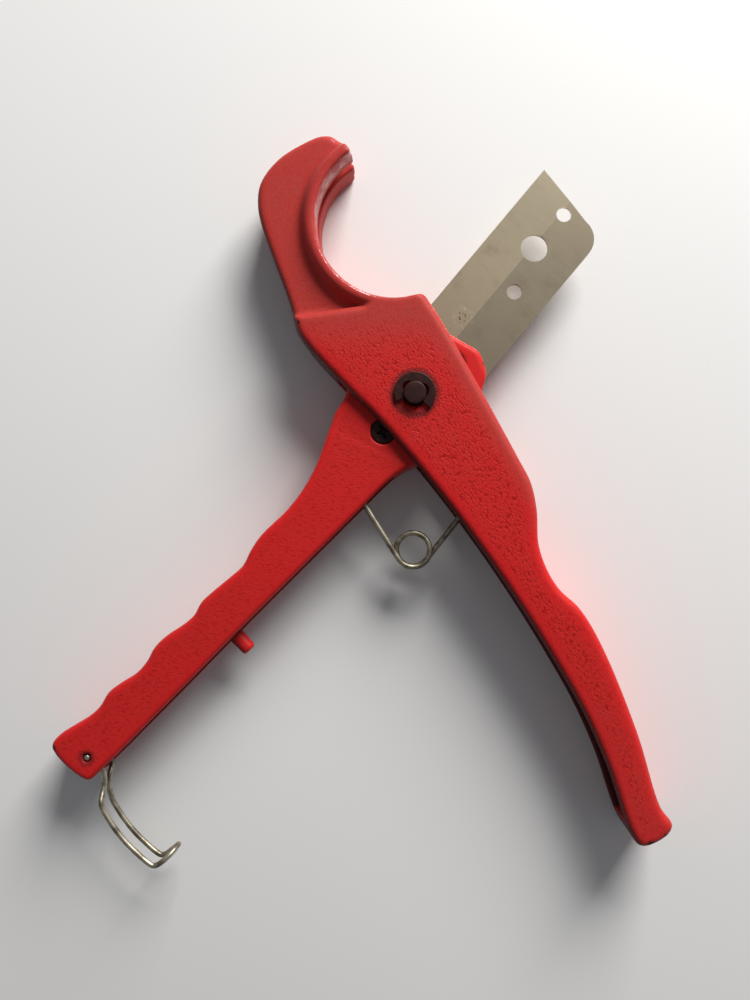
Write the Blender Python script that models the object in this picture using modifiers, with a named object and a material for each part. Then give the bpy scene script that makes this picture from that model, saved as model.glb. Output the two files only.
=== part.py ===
"""Hand pipe cutter for plastic pipe: a hooked frame casting, a blade handle that swings in it, and fittings.

Sizes are in millimetres and become metres through MM. The origin is on the pivot's axis, at the frame's rear
face. +Z runs along the pivot towards the clip, +X and +Y lie in the plane of the tool, and the frame's jaw
points along +Y. The tool is modelled open, as its spring holds it.
"""

import math

import bmesh
import bpy
import numpy as np
from mathutils import Matrix

MM = 0.001
CORNER = True

# Frame casting: full thickness, cheek thickness and the web that the jaw thins down to.
FRAME_THICKNESS = 20.0
FRAME_WALL = 2.9
FRAME_EDGE_RADIUS = 2.0
JAW_WEB_THICKNESS = 13.0
MIDDLE = FRAME_THICKNESS / 2
JAW_CENTRE = (-5.6, 46.4)
JAW_RADIUS = 20.9
JAW_RIM_WIDTH = 3.2
JAW_RIM_ARC = (122.0, 262.0)
CAVITY_RADIUS = 21.5

# Blade handle casting, which swings between the frame's cheeks.
CHEEK_CLEARANCE = 0.3
HANDLE_WALL = 1.9
HANDLE_LOW = FRAME_WALL + CHEEK_CLEARANCE
HANDLE_HIGH = FRAME_THICKNESS - HANDLE_LOW
HANDLE_EDGE_RADIUS = 1.5
HEAD_RADIUS = 18.5
BOSS_ROOT_RADIUS = 2.5
BOSS_TIP_RADIUS = 1.9
BOSS_ROOT = (-57.0, -56.9)
BOSS_TIP = (-45.3, -69.1)

# Blade, in its own axes: along its length from the pivot, and across it towards the cutting edge.
BLADE_ANGLE = 50.0
BLADE_THICKNESS = 1.5
BLADE_EDGE = 13.2
BLADE_BACK = -11.0
BLADE_BEVEL_START = 2.0
BLADE_EDGE_THICKNESS = 0.25
BLADE_NEAR_END = -16.0
BLADE_TIP = 71.0
BLADE_TIP_FOOT = (67.2, -4.9)
BLADE_HOLES = ((0.0, 0.0, 7.5), (12.5, -2.1, 4.6), (-12.9, 0.3, 4.6), (39.9, -2.1, 4.3), (52.6, 1.4, 7.5),
               (64.9, 1.1, 4.2))
BLADE_SLOT_WIDTH = 2.1
SWING_SLOT_WIDTH = 3.3
SWING_SLOT_RADIUS = 72.8
SWING = 57.0

# Pivot pin and its clip.
PIN_RADIUS = 3.0
PIN_BORE_RADIUS = 3.15
PIN_LENGTH = 22.0
PIN_HEAD_RADIUS = 5.0
PIN_HEAD_THICKNESS = 1.6
CLIP_GROOVE_RADIUS = 2.5
CLIP_RADIUS = 5.5
CLIP_THICKNESS = 0.7
CLIP_LOW = FRAME_THICKNESS + 0.35

# Blade screws.
SCREW_PLACES = {"blade_screw_upper": (12.5, -2.1), "blade_screw_lower": (-12.9, 0.3)}
SCREW_HEAD_RADIUS = 3.3
SCREW_HEAD_HEIGHT = 2.4
SCREW_SHANK_RADIUS = 2.0
SCREW_HEAD_TOP = HANDLE_HIGH - 0.15
SCREW_TIP = HANDLE_LOW + 0.5
SCREW_SEAT_RADIUS = 3.55
SCREW_HOLE_RADIUS = 2.2

# Torsion spring: one coil of wire with a leg in each handle, shared out between two bodies at mid coil.
SPRING_WIRE_RADIUS = 0.78
SPRING_CENTRE = (-0.55, -41.6)
SPRING_RADIUS = 4.62
SPRING_START = 212.0
SPRING_TURNS = 2.305
SPRING_PITCH = 1.9
SPRING_HANDLE_TIP = (-22.0, -16.0)
SPRING_FRAME_TIP = (23.2, -18.9)
SPRING_STEPS_PER_TURN = 20

# Latch bail: a wire loop whose two ends turn in the end of the blade handle.
BAIL_WIRE_RADIUS = 0.75
BAIL_PIVOT = (-87.8, -97.0)
BAIL_HALF_WIDTH = 3.8
BAIL_PINCH = 1.7
BAIL_HOLE_RADIUS = 1.05

# Outlines in the plane of the tool. A point with CORNER keeps its angle, and a curve runs through the others.
BODY_OUTLINE = (
    (-32.2, 20.8, CORNER), (-13.5, 23.6, CORNER), (-10.0, 30.0, CORNER), (0.9, 27.5, CORNER), (2.9, 25.9),
    (28.0, -18.0), (30.8, -23.5), (32.4, -31.0), (32.8, -39.5), (34.8, -45.9), (38.2, -51.6), (43.9, -57.1),
    (49.8, -67.1), (59.1, -90.0), (65.1, -109.5), (68.3, -114.4), (66.2, -117.6), (60.0, -119.9),
    (57.4, -117.0), (50.9, -98.6), (45.1, -85.5), (38.4, -73.4), (26.2, -53.8), (13.0, -34.9),
    (0.2, -18.5), (-10.8, -5.8), (-17.6, 0.9), (-28.4, 12.4), (-31.0, 16.3),
)
JAW_OUTLINE = (
    (-31.4, 16.6, CORNER), (-34.0, 25.5), (-38.2, 36.8), (-41.3, 45.8), (-42.3, 51.0), (-41.6, 57.1),
    (-36.6, 63.7), (-27.9, 68.9), (-25.2, 69.8), (-22.2, 69.6), (-18.4, 66.1), (-17.0, 64.4, CORNER),
    (-12.0, 55.0, CORNER), (-5.6, 20.0, CORNER), (-20.0, 8.0, CORNER),
)
FRAME_CHANNEL = (
    (12.0, 14.0, CORNER), (33.0, -6.0, CORNER), (26.0, -12.0, CORNER), (22.0, -13.6, CORNER), (25.2, -19.0),
    (28.0, -24.5), (29.3, -31.5), (29.6, -40.0), (31.7, -47.3), (35.8, -53.9), (41.4, -59.2), (46.9, -68.6),
    (56.1, -91.2), (61.0, -107.0), (62.4, -112.6, CORNER), (53.0, -116.0, CORNER), (40.0, -100.0, CORNER),
    (8.0, -44.0, CORNER), (-8.0, -20.0, CORNER),
)
GRIP_OUTER = (
    (-21.6, -4.8), (-24.0, -11.6), (-26.4, -18.2), (-30.1, -25.1), (-34.6, -30.9), (-41.2, -37.3),
    (-44.1, -41.5), (-46.2, -45.6), (-49.4, -48.5), (-54.7, -52.9), (-57.4, -55.5), (-59.3, -58.9),
    (-62.0, -61.3), (-66.8, -64.5), (-70.0, -67.7), (-71.9, -71.2), (-74.6, -74.3), (-78.8, -77.0),
    (-82.2, -79.6), (-84.5, -83.3), (-87.4, -86.0), (-95.6, -91.2),
)
GRIP_END = ((-97.4, -93.9), (-95.6, -97.3), (-89.9, -102.3), (-87.4, -103.2), (-85.0, -101.3))
GRIP_INNER = ((-46.2, -62.1), (-25.7, -41.6), (-14.6, -30.5), (-8.6, -24.4), (-3.9, -20.6))
LOBE = ((18.0, 1.0), (19.1, 5.2), (18.4, 9.0), (16.9, 12.0), (13.6, 14.0), (9.0, 16.6))
HANDLE_CHANNEL_OUTER = (
    (-22.6, -13.4), (-24.8, -19.3), (-28.5, -26.2), (-33.2, -32.3), (-39.7, -38.6), (-42.4, -42.4),
    (-44.7, -46.9), (-48.1, -50.0), (-53.4, -54.3), (-55.8, -56.8), (-57.8, -60.2), (-60.8, -62.8),
    (-65.6, -66.0), (-68.4, -68.8), (-70.3, -72.3), (-73.4, -75.8), (-77.7, -78.6), (-80.8, -81.0),
    (-83.0, -84.5), (-86.3, -87.6),
)
HANDLE_CHANNEL_END = (
    (-93.6, -92.2), (-94.2, -94.8), (-88.3, -100.4, CORNER), (-88.0, -106.0, CORNER), (-60.0, -88.0, CORNER),
    (-2.5, -27.0, CORNER), (-2.5, -23.5, CORNER),
)
BAIL_LEG = (
    (-87.8, -97.0, 1.0), (-86.1, -99.0, 1.0), (-84.6, -101.2, 0.95), (-84.6, -103.4, 0.6),
    (-84.8, -105.3, 0.45), (-85.0, -107.3, 0.6), (-85.0, -109.6, 0.95), (-84.4, -111.8, 1.0),
    (-83.0, -114.2, 1.0), (-80.9, -117.3, 1.0), (-78.4, -120.4, 1.0), (-75.3, -123.5, 1.0),
    (-72.3, -126.1, 1.0), (-70.9, -126.9, 1.0), (-69.7, -126.7, 1.0), (-67.4, -125.0, 0.95),
    (-65.8, -123.5, 0.6),
)
BAIL_END = (-65.3, -122.8)

CASTING_RED = ("red_hammer_paint", (0.52, 0.017, 0.015), 0.42, 0.1)
BLADE_STEEL = ("ground_blade_steel", (0.42, 0.37, 0.29), 0.35, 1.0)
BLACK_STEEL = ("black_oxide_steel", (0.022, 0.015, 0.013), 0.4, 0.6)
SPRING_STEEL = ("plated_spring_wire", (0.46, 0.43, 0.38), 0.28, 1.0)


def empty_scene():
    for obj in list(bpy.data.objects):
        bpy.data.objects.remove(obj)
    for collection in list(bpy.data.collections):
        bpy.data.collections.remove(collection)


def new_collection(name):
    collection = bpy.data.collections.new(name)
    bpy.context.scene.collection.children.link(collection)
    return collection


def new_material(name, colour, roughness, metallic):
    material = bpy.data.materials.new(name)
    material.use_nodes = True
    shader = material.node_tree.nodes["Principled BSDF"]
    shader.inputs["Base Color"].default_value = (*colour, 1.0)
    shader.inputs["Roughness"].default_value = roughness
    shader.inputs["Metallic"].default_value = metallic
    return material


def smooth_run(points, steps):
    """Centripetal Catmull-Rom curve through an open run of points, carried on straight past both ends."""
    points = np.asarray(points, float)
    points = np.vstack([2 * points[0] - points[1], points, 2 * points[-1] - points[-2]])
    spans = np.diff(points, axis=0)
    gaps = np.sqrt(np.linalg.norm(spans, axis=1))[:, None]
    slopes = spans / gaps
    tangents = (slopes[:-1] * gaps[1:] + slopes[1:] * gaps[:-1]) / (gaps[:-1] + gaps[1:])
    leave = tangents[:-1] * gaps[1:-1]
    arrive = tangents[1:] * gaps[1:-1]
    t = np.linspace(0, 1, steps, endpoint=False)[:, None, None]
    curve = (2 * t**3 - 3 * t**2 + 1) * points[1:-2] + (3 * t**2 - 2 * t**3) * points[2:-1]
    curve = curve + (t**3 - 2 * t**2 + t) * leave + (t**3 - t**2) * arrive
    return np.vstack([curve.transpose(1, 0, 2).reshape(-1, points.shape[1]), points[-2]])


def smooth_loop(points, steps):
    """Closed outline: straight between two corners, and a smooth curve through the points between them."""
    corners = [i for i, point in enumerate(points) if len(point) == 3]
    flat = [point[:2] for point in points]
    loop = []
    for first, last in zip(corners, corners[1:] + [corners[0] + len(points)]):
        run = [flat[i % len(flat)] for i in range(first, last + 1)]
        loop.extend(run[:1] if len(run) == 2 else smooth_run(run, steps)[:-1])
    return loop


def arc_points(centre, radius, start, end, count):
    angles = np.radians(np.linspace(start, end, count))
    return [(centre[0] + radius * math.cos(a), centre[1] + radius * math.sin(a)) for a in angles]


def blade_to_tool(along, across):
    """Turns a place in the blade's own axes into one in the tool's, with the tool open."""
    turn = math.radians(BLADE_ANGLE)
    x = along * math.cos(turn) - across * math.sin(turn)
    y = along * math.sin(turn) + across * math.cos(turn)
    return x, y


def mesh_object(name, bm, collection):
    mesh = bpy.data.meshes.new(name)
    bmesh.ops.recalc_face_normals(bm, faces=bm.faces)
    bm.to_mesh(mesh)
    bm.free()
    obj = bpy.data.objects.new(name, mesh)
    collection.objects.link(obj)
    return obj


def plate(name, loop, low, high, collection):
    """Flat plate with an outline, between two heights: a filled 2D curve with a thickness, made a mesh."""
    curve = bpy.data.curves.new(name, "CURVE")
    curve.dimensions = "2D"
    curve.fill_mode = "BOTH"
    curve.extrude = (high - low) / 2 * MM
    spline = curve.splines.new("POLY")
    spline.points.add(len(loop) - 1)
    spline.use_cyclic_u = True
    for point, (x, y) in zip(spline.points, loop):
        point.co = (x * MM, y * MM, 0.0, 1.0)
    guide = bpy.data.objects.new(name + "_curve", curve)
    collection.objects.link(guide)
    graph = bpy.context.evaluated_depsgraph_get()
    bm = bmesh.new()
    mesh = bpy.data.meshes.new_from_object(guide.evaluated_get(graph))
    bm.from_mesh(mesh)
    bpy.data.meshes.remove(mesh)
    bpy.data.objects.remove(guide)
    bmesh.ops.remove_doubles(bm, verts=bm.verts, dist=1e-6)
    bmesh.ops.dissolve_limit(bm, angle_limit=1e-3, verts=bm.verts, edges=bm.edges)
    bmesh.ops.translate(bm, verts=bm.verts, vec=(0, 0, (low + high) / 2 * MM))
    return mesh_object(name, bm, collection)


def cylinder(name, centre, radius, low, high, segments, collection):
    bm = bmesh.new()
    bmesh.ops.create_cone(
        bm, cap_ends=True, segments=segments,
        radius1=radius * MM, radius2=radius * MM, depth=(high - low) * MM,
    )
    bmesh.ops.translate(bm, verts=bm.verts, vec=(centre[0] * MM, centre[1] * MM, (low + high) / 2 * MM))
    return mesh_object(name, bm, collection)


def turned(name, profile, centre, segments, collection):
    """Solid of revolution about a vertical axis, from a profile that runs down its outer side."""
    mesh = bpy.data.meshes.new(name)
    edges = [(i, i + 1) for i in range(len(profile) - 1)]
    mesh.from_pydata([(r * MM, 0.0, z * MM) for r, z in profile], edges, [])
    obj = bpy.data.objects.new(name, mesh)
    obj.location = (centre[0] * MM, centre[1] * MM, 0.0)
    collection.objects.link(obj)
    screw = obj.modifiers.new("turn", "SCREW")
    screw.steps = segments
    screw.render_steps = segments
    screw.use_merge_vertices = True
    screw.merge_threshold = 1e-5
    return obj


def wire(name, points, radius, collection):
    curve = bpy.data.curves.new(name, "CURVE")
    curve.dimensions = "3D"
    curve.bevel_depth = radius * MM
    curve.bevel_resolution = 2
    curve.use_fill_caps = True
    spline = curve.splines.new("POLY")
    spline.points.add(len(points) - 1)
    for point, place in zip(spline.points, points):
        point.co = (*(float(value) * MM for value in place), 1.0)
    obj = bpy.data.objects.new(name, curve)
    collection.objects.link(obj)
    return obj


def round_edges(obj, radius, segments=2):
    bevel = obj.modifiers.new("edge_rounding", "BEVEL")
    bevel.width = radius * MM
    bevel.segments = segments
    bevel.limit_method = "ANGLE"
    bevel.angle_limit = math.radians(50)


def combine(obj, other, operation):
    boolean = obj.modifiers.new(other.name, "BOOLEAN")
    boolean.operation = operation
    boolean.solver = "EXACT"
    boolean.object = other


def cut(obj, *cutters):
    for cutter in cutters:
        combine(obj, cutter, "DIFFERENCE")


def join(obj, *additions):
    for addition in additions:
        combine(obj, addition, "UNION")


def finish(obj, material):
    obj.data.materials.append(material)
    if obj.type == "MESH":
        obj.data.shade_smooth()
        obj.data.set_sharp_from_angle(angle=math.radians(35))


def build_jaw_frame(parts, tools):
    """Frame casting: body and fixed handle at full thickness, a thinner jaw with a rim, and the cavity."""
    web_low = MIDDLE - JAW_WEB_THICKNESS / 2
    web_high = MIDDLE + JAW_WEB_THICKNESS / 2
    frame = plate("jaw_frame", smooth_loop(BODY_OUTLINE, 3), 0.0, FRAME_THICKNESS, parts)
    round_edges(frame, FRAME_EDGE_RADIUS)
    jaw = plate("jaw_web", smooth_loop(JAW_OUTLINE, 4), web_low, web_high, tools)
    round_edges(jaw, FRAME_EDGE_RADIUS)
    outer = arc_points(JAW_CENTRE, JAW_RADIUS + JAW_RIM_WIDTH, *JAW_RIM_ARC, 33)
    inner = arc_points(JAW_CENTRE, JAW_RADIUS - 2.0, *reversed(JAW_RIM_ARC), 33)
    rim = plate("jaw_rim", outer + inner, 0.0, FRAME_THICKNESS, tools)
    round_edges(rim, 1.2)
    join(frame, jaw, rim)
    past = 2.0
    opening = cylinder("jaw_opening", JAW_CENTRE, JAW_RADIUS, -past, FRAME_THICKNESS + past, 96, tools)
    cavity_span = (FRAME_WALL, FRAME_THICKNESS - FRAME_WALL)
    cavity = cylinder("head_cavity", (0.0, 0.0), CAVITY_RADIUS, *cavity_span, 72, tools)
    channel = plate("frame_channel", smooth_loop(FRAME_CHANNEL, 3), *cavity_span, tools)
    slot = build_swing_slot(tools)
    bore = cylinder("frame_pin_bore", (0.0, 0.0), PIN_BORE_RADIUS, -past, FRAME_THICKNESS + past, 32, tools)
    seat_radius = PIN_HEAD_RADIUS + 0.3
    head_seat = cylinder("pin_head_seat", (0.0, 0.0), seat_radius, -past, PIN_HEAD_THICKNESS + 0.3, 40, tools)
    cut(frame, opening, cavity, channel, slot, bore, head_seat)
    return frame


def build_swing_slot(tools):
    """Cutter for the slot that the blade swings through, up to a line just past its edge when closed."""
    floor = BLADE_EDGE + 0.6
    closed = BLADE_ANGLE + SWING
    reach = math.degrees(math.asin(floor / SWING_SLOT_RADIUS))
    loop = arc_points((0.0, 0.0), SWING_SLOT_RADIUS, closed + reach, 55.0, 40)
    side = math.radians(closed + 90.0)
    loop += [(12.0, 0.0), (0.0, -8.0), (floor * math.cos(side), floor * math.sin(side))]
    half = SWING_SLOT_WIDTH / 2
    return plate("swing_slot", loop, MIDDLE - half, MIDDLE + half, tools)


def handle_outline():
    """Blade handle's outline: the grip's two sides and its end, then the round head with its lobe."""
    under_head = arc_points((0.0, 0.0), HEAD_RADIUS, 272.0, 352.0, 8)
    over_head = arc_points((0.0, 0.0), HEAD_RADIUS, 70.0, 178.0, 12)
    points = [*GRIP_OUTER, *GRIP_END, *GRIP_INNER, *under_head, *LOBE, *over_head]
    points[0] = (*points[0], CORNER)
    return smooth_loop(points, 2)


def blade_outline(gap=0.0, far=None):
    """Blade's outline in the tool's axes or, with a gap and a far end, the head's pocket for it."""
    near = BLADE_NEAR_END - gap
    edge = BLADE_EDGE + gap
    back = BLADE_BACK - gap
    corner = 4.0
    loop = arc_points((near + corner, back + corner), corner, 270.0, 180.0, 5)
    loop += arc_points((near + corner, edge - corner), corner, 180.0, 90.0, 5)
    if far is None:
        far_corner = BLADE_TIP_FOOT[1] - BLADE_BACK
        centre = (BLADE_TIP_FOOT[0] - far_corner, BLADE_TIP_FOOT[1])
        loop += [(BLADE_TIP, BLADE_EDGE), *arc_points(centre, far_corner, 0.0, -90.0, 8)]
    else:
        loop += [(far, edge), (far, back)]
    return [blade_to_tool(*point) for point in loop]


def build_blade_handle(parts, tools):
    """Blade handle casting: a hollow grip open along its inner side, and a head slotted for the blade."""
    handle = plate("blade_handle", handle_outline(), HANDLE_LOW, HANDLE_HIGH, parts)
    round_edges(handle, HANDLE_EDGE_RADIUS)
    boss = build_stop_boss(tools)
    channel_span = (HANDLE_LOW + HANDLE_WALL, HANDLE_HIGH - HANDLE_WALL)
    channel_loop = smooth_loop([*HANDLE_CHANNEL_OUTER, *HANDLE_CHANNEL_END], 2)
    channel = plate("handle_channel", channel_loop, *channel_span, tools)
    half = BLADE_SLOT_WIDTH / 2
    pocket = plate("blade_pocket", blade_outline(0.4, 30.0), MIDDLE - half, MIDDLE + half, tools)
    bore = cylinder("handle_pin_bore", (0.0, 0.0), PIN_BORE_RADIUS, 0.0, FRAME_THICKNESS, 32, tools)
    bail_hole = cylinder("bail_hole", BAIL_PIVOT, BAIL_HOLE_RADIUS, 0.0, FRAME_THICKNESS, 16, tools)
    cut(handle, channel, pocket, bore, bail_hole)
    for name, place in SCREW_PLACES.items():
        centre = blade_to_tool(*place)
        seat_low = SCREW_HEAD_TOP - SCREW_HEAD_HEIGHT - 0.3
        hole = cylinder(name + "_hole", centre, SCREW_HOLE_RADIUS, 0.0, FRAME_THICKNESS, 20, tools)
        seat = cylinder(name + "_seat", centre, SCREW_SEAT_RADIUS, seat_low, FRAME_THICKNESS, 32, tools)
        cut(handle, hole, seat)
    join(handle, boss)
    return handle


def build_stop_boss(tools):
    """Round post from the grip's outer wall, across its channel and out of its inner side, half way up."""
    start = np.array(BOSS_ROOT)
    end = np.array(BOSS_TIP)
    length = float(np.linalg.norm(end - start))
    bm = bmesh.new()
    ends = {"radius1": BOSS_ROOT_RADIUS * MM, "radius2": BOSS_TIP_RADIUS * MM}
    bmesh.ops.create_cone(bm, cap_ends=True, segments=20, depth=length * MM, **ends)
    heading = math.atan2(end[1] - start[1], end[0] - start[0])
    middle = (start + end) / 2 * MM
    turn = Matrix.Rotation(heading, 4, "Z") @ Matrix.Rotation(math.pi / 2, 4, "Y")
    place = Matrix.Translation((middle[0], middle[1], MIDDLE * MM))
    bmesh.ops.transform(bm, matrix=place @ turn, verts=bm.verts)
    return mesh_object("stop_boss", bm, tools)


def build_blade(parts, tools):
    """Flat blade, ground down on both faces towards its edge, with holes for the pin and the screws."""
    half = BLADE_THICKNESS / 2
    blade = plate("blade", blade_outline(), MIDDLE - half, MIDDLE + half, parts)
    across = blade_to_tool(0.0, 1.0)
    start = blade_to_tool(0.0, BLADE_BEVEL_START)
    bm = bmesh.new()
    bm.from_mesh(blade.data)
    bmesh.ops.bisect_plane(
        bm,
        geom=[*bm.verts, *bm.edges, *bm.faces],
        plane_co=(start[0] * MM, start[1] * MM, 0.0),
        plane_no=(across[0], across[1], 0.0),
        dist=1e-7,
    )
    thinning = 1 - BLADE_EDGE_THICKNESS / BLADE_THICKNESS
    for vertex in bm.verts:
        out = (vertex.co.x * across[0] + vertex.co.y * across[1]) / MM
        share = max(0.0, (out - BLADE_BEVEL_START) / (BLADE_EDGE - BLADE_BEVEL_START))
        vertex.co.z = MIDDLE * MM + (vertex.co.z - MIDDLE * MM) * (1 - thinning * share)
    bm.to_mesh(blade.data)
    bm.free()
    for index, (along, out, diameter) in enumerate(BLADE_HOLES):
        centre = blade_to_tool(along, out)
        hole = cylinder(f"blade_hole_{index}", centre, diameter / 2, 0.0, FRAME_THICKNESS, 48, tools)
        cut(blade, hole)
    return blade


def build_screw(name, place, parts, tools):
    """Cheese-head screw with a cross recess, sunk in the head's front cheek."""
    centre = blade_to_tool(*place)
    head_low = SCREW_HEAD_TOP - SCREW_HEAD_HEIGHT
    profile = (
        (0.0, SCREW_HEAD_TOP), (SCREW_HEAD_RADIUS - 0.5, SCREW_HEAD_TOP),
        (SCREW_HEAD_RADIUS, SCREW_HEAD_TOP - 0.5),
        (SCREW_HEAD_RADIUS, head_low), (SCREW_SHANK_RADIUS, head_low), (SCREW_SHANK_RADIUS, SCREW_TIP + 0.4),
        (SCREW_SHANK_RADIUS - 0.4, SCREW_TIP), (0.0, SCREW_TIP),
    )
    screw = turned(name, profile, centre, 28, parts)
    for arm in (0, 1):
        bm = bmesh.new()
        bmesh.ops.create_cube(bm, size=1.0)
        shape = Matrix.Diagonal((4.0 * MM, 0.9 * MM, 3.0 * MM, 1.0))
        turn = Matrix.Rotation(math.radians(20 + 90 * arm), 4, "Z")
        above = Matrix.Translation((centre[0] * MM, centre[1] * MM, (SCREW_HEAD_TOP + 0.1) * MM))
        bmesh.ops.transform(bm, matrix=above @ turn @ shape, verts=bm.verts)
        cut(screw, mesh_object(f"{name}_recess_{arm}", bm, tools))
    return screw


def build_pivot_pin(parts):
    """Pin with a flat head sunk in the frame's rear face and a groove for the clip near its front end."""
    groove_low = CLIP_LOW - 0.15
    groove_high = CLIP_LOW + CLIP_THICKNESS + 0.15
    profile = (
        (0.0, PIN_LENGTH), (PIN_RADIUS - 0.3, PIN_LENGTH), (PIN_RADIUS, PIN_LENGTH - 0.3),
        (PIN_RADIUS, groove_high), (CLIP_GROOVE_RADIUS, groove_high), (CLIP_GROOVE_RADIUS, groove_low),
        (PIN_RADIUS, groove_low), (PIN_RADIUS, PIN_HEAD_THICKNESS), (PIN_HEAD_RADIUS, PIN_HEAD_THICKNESS),
        (PIN_HEAD_RADIUS, 0.0), (0.0, 0.0),
    )
    return turned("pivot_pin", profile, (0.0, 0.0), 32, parts)


def build_clip(parts):
    """Open retaining ring, its inside waved so that three lobes meet the pin's groove."""
    back = 82.0
    sweep = 122.0
    angles = np.linspace(back - sweep, back + sweep, 49)
    outer = arc_points((0.0, 0.0), CLIP_RADIUS, back - sweep, back + sweep, 49)
    lobes = CLIP_GROOVE_RADIUS + 0.85 - 0.75 * np.cos(3 * np.radians(angles - back))
    inner = [
        (r * math.cos(math.radians(a)), r * math.sin(math.radians(a)))
        for a, r in zip(angles[::-1], lobes[::-1])
    ]
    return plate("e_clip", outer + inner, CLIP_LOW, CLIP_LOW + CLIP_THICKNESS, parts)


def spring_path(start, end, tip, tip_first):
    """Stretch of the coil between two turn counts, with the straight leg that meets the given tip."""
    count = math.ceil((end - start) * SPRING_STEPS_PER_TURN)
    turns = np.linspace(start, end, count + 1)
    angles = np.radians(SPRING_START) + turns * 2 * math.pi
    heights = MIDDLE + (SPRING_TURNS / 2 - turns) * SPRING_PITCH
    coil = [
        (SPRING_CENTRE[0] + SPRING_RADIUS * math.cos(a), SPRING_CENTRE[1] + SPRING_RADIUS * math.sin(a), z)
        for a, z in zip(angles, heights)
    ]
    leg = (*tip, coil[0][2] if tip_first else coil[-1][2])
    return [leg, *coil] if tip_first else [*coil, leg]


def build_spring(parts):
    """The two halves of the torsion spring, which part at mid coil so that each can follow its own leg."""
    parting = 0.5 * SPRING_TURNS
    gap = 0.4 / (2 * math.pi * SPRING_RADIUS)
    handle_leg = spring_path(0.0, parting - gap, SPRING_HANDLE_TIP, True)
    frame_leg = spring_path(parting + gap, SPRING_TURNS, SPRING_FRAME_TIP, False)
    return (
        wire("spring_handle_leg", handle_leg, SPRING_WIRE_RADIUS, parts),
        wire("spring_frame_leg", frame_leg, SPRING_WIRE_RADIUS, parts),
    )


def build_latch_bail(parts):
    """Wire loop: an end in each cheek's hole, two legs that pinch in and part again, and a hooked far end."""
    leg = [(x, y, share * BAIL_HALF_WIDTH) for x, y, share in BAIL_LEG]
    turn_in = smooth_run(leg, 2)
    front = [(x, y, MIDDLE + out) for x, y, out in turn_in]
    rear = [(x, y, MIDDLE - out) for x, y, out in turn_in]
    end_out = (HANDLE_HIGH - HANDLE_LOW) / 2 - 0.2
    shaft = [(*BAIL_PIVOT, MIDDLE + end_out), (*BAIL_PIVOT, MIDDLE + BAIL_HALF_WIDTH + 0.5)]
    shaft_rear = [(x, y, 2 * MIDDLE - z) for x, y, z in reversed(shaft)]
    path = [*shaft, *front[1:], (*BAIL_END, MIDDLE), *reversed(rear[1:]), *shaft_rear]
    return wire("latch_bail", path, BAIL_WIRE_RADIUS, parts)


def joint_axis(name, place, parts, parent=None):
    """Empty on a joint's axis, which carries the pieces that turn about it."""
    axis = bpy.data.objects.new(name, None)
    axis.location = (place[0] * MM, place[1] * MM, MIDDLE * MM)
    parts.objects.link(axis)
    bpy.context.view_layer.update()
    if parent:
        carry(parent, axis)
    return axis


def carry(axis, *pieces):
    for piece in pieces:
        piece.parent = axis
        piece.matrix_parent_inverse = axis.matrix_world.inverted()
    bpy.context.view_layer.update()


def main():
    empty_scene()
    parts = new_collection("pipe_cutter")
    tools = new_collection("cutters")
    red = new_material(*CASTING_RED)
    steel = new_material(*BLADE_STEEL)
    black = new_material(*BLACK_STEEL)
    plated = new_material(*SPRING_STEEL)

    frame = build_jaw_frame(parts, tools)
    handle = build_blade_handle(parts, tools)
    blade = build_blade(parts, tools)
    screws = [build_screw(name, place, parts, tools) for name, place in SCREW_PLACES.items()]
    pin = build_pivot_pin(parts)
    clip = build_clip(parts)
    handle_leg, frame_leg = build_spring(parts)
    bail = build_latch_bail(parts)

    for piece, material in (
        (frame, red), (handle, red), (blade, steel), (pin, black), (clip, black),
        (handle_leg, plated), (frame_leg, plated), (bail, plated), *((screw, black) for screw in screws),
    ):
        finish(piece, material)

    pivot = joint_axis("blade_pivot_axis", (0.0, 0.0), parts)
    latch = joint_axis("latch_hinge_axis", BAIL_PIVOT, parts, pivot)
    frame_leg_axis = joint_axis("spring_frame_leg_axis", SPRING_FRAME_TIP, parts)
    coil_axis = joint_axis("spring_coil_axis", SPRING_CENTRE, parts, frame_leg_axis)
    carry(pivot, handle, blade, *screws)
    carry(latch, bail)
    carry(frame_leg_axis, frame_leg)
    carry(coil_axis, handle_leg)

    for tool in tools.objects:
        tool.hide_render = True
        tool.display_type = "WIRE"
    tools.hide_render = True


main()
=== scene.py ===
"""Looks of the pipe cutter: its finished castings, fittings and wires, their finishes, and a plain studio.

The castings, the clip and the screws are implicit solids: a signed distance, in millimetres, is worked out
on a lattice as whole arrays, and a net of quads is drawn over its zero surface. Wires are circles carried
along a path, the pin is a turned profile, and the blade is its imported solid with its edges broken.
"""

import logging
import math
from collections.abc import Sequence
from dataclasses import dataclass
from enum import Enum
from itertools import combinations, product
from typing import Any

import bmesh
import bpy
import numpy as np
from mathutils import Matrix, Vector
from numpy.typing import NDArray


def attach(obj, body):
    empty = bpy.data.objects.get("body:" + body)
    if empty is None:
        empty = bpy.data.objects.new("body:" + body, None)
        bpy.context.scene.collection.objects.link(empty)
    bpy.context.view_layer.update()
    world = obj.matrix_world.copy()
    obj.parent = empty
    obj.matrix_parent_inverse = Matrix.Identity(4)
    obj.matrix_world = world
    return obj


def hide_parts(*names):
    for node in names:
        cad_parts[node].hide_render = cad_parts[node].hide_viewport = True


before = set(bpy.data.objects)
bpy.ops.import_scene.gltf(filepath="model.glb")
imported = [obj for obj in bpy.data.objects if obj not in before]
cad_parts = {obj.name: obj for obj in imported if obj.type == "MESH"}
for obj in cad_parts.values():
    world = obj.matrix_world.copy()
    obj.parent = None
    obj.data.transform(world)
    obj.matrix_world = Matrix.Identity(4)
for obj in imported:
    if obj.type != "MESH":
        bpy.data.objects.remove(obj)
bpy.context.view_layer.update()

Array = NDArray[np.float64]
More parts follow.
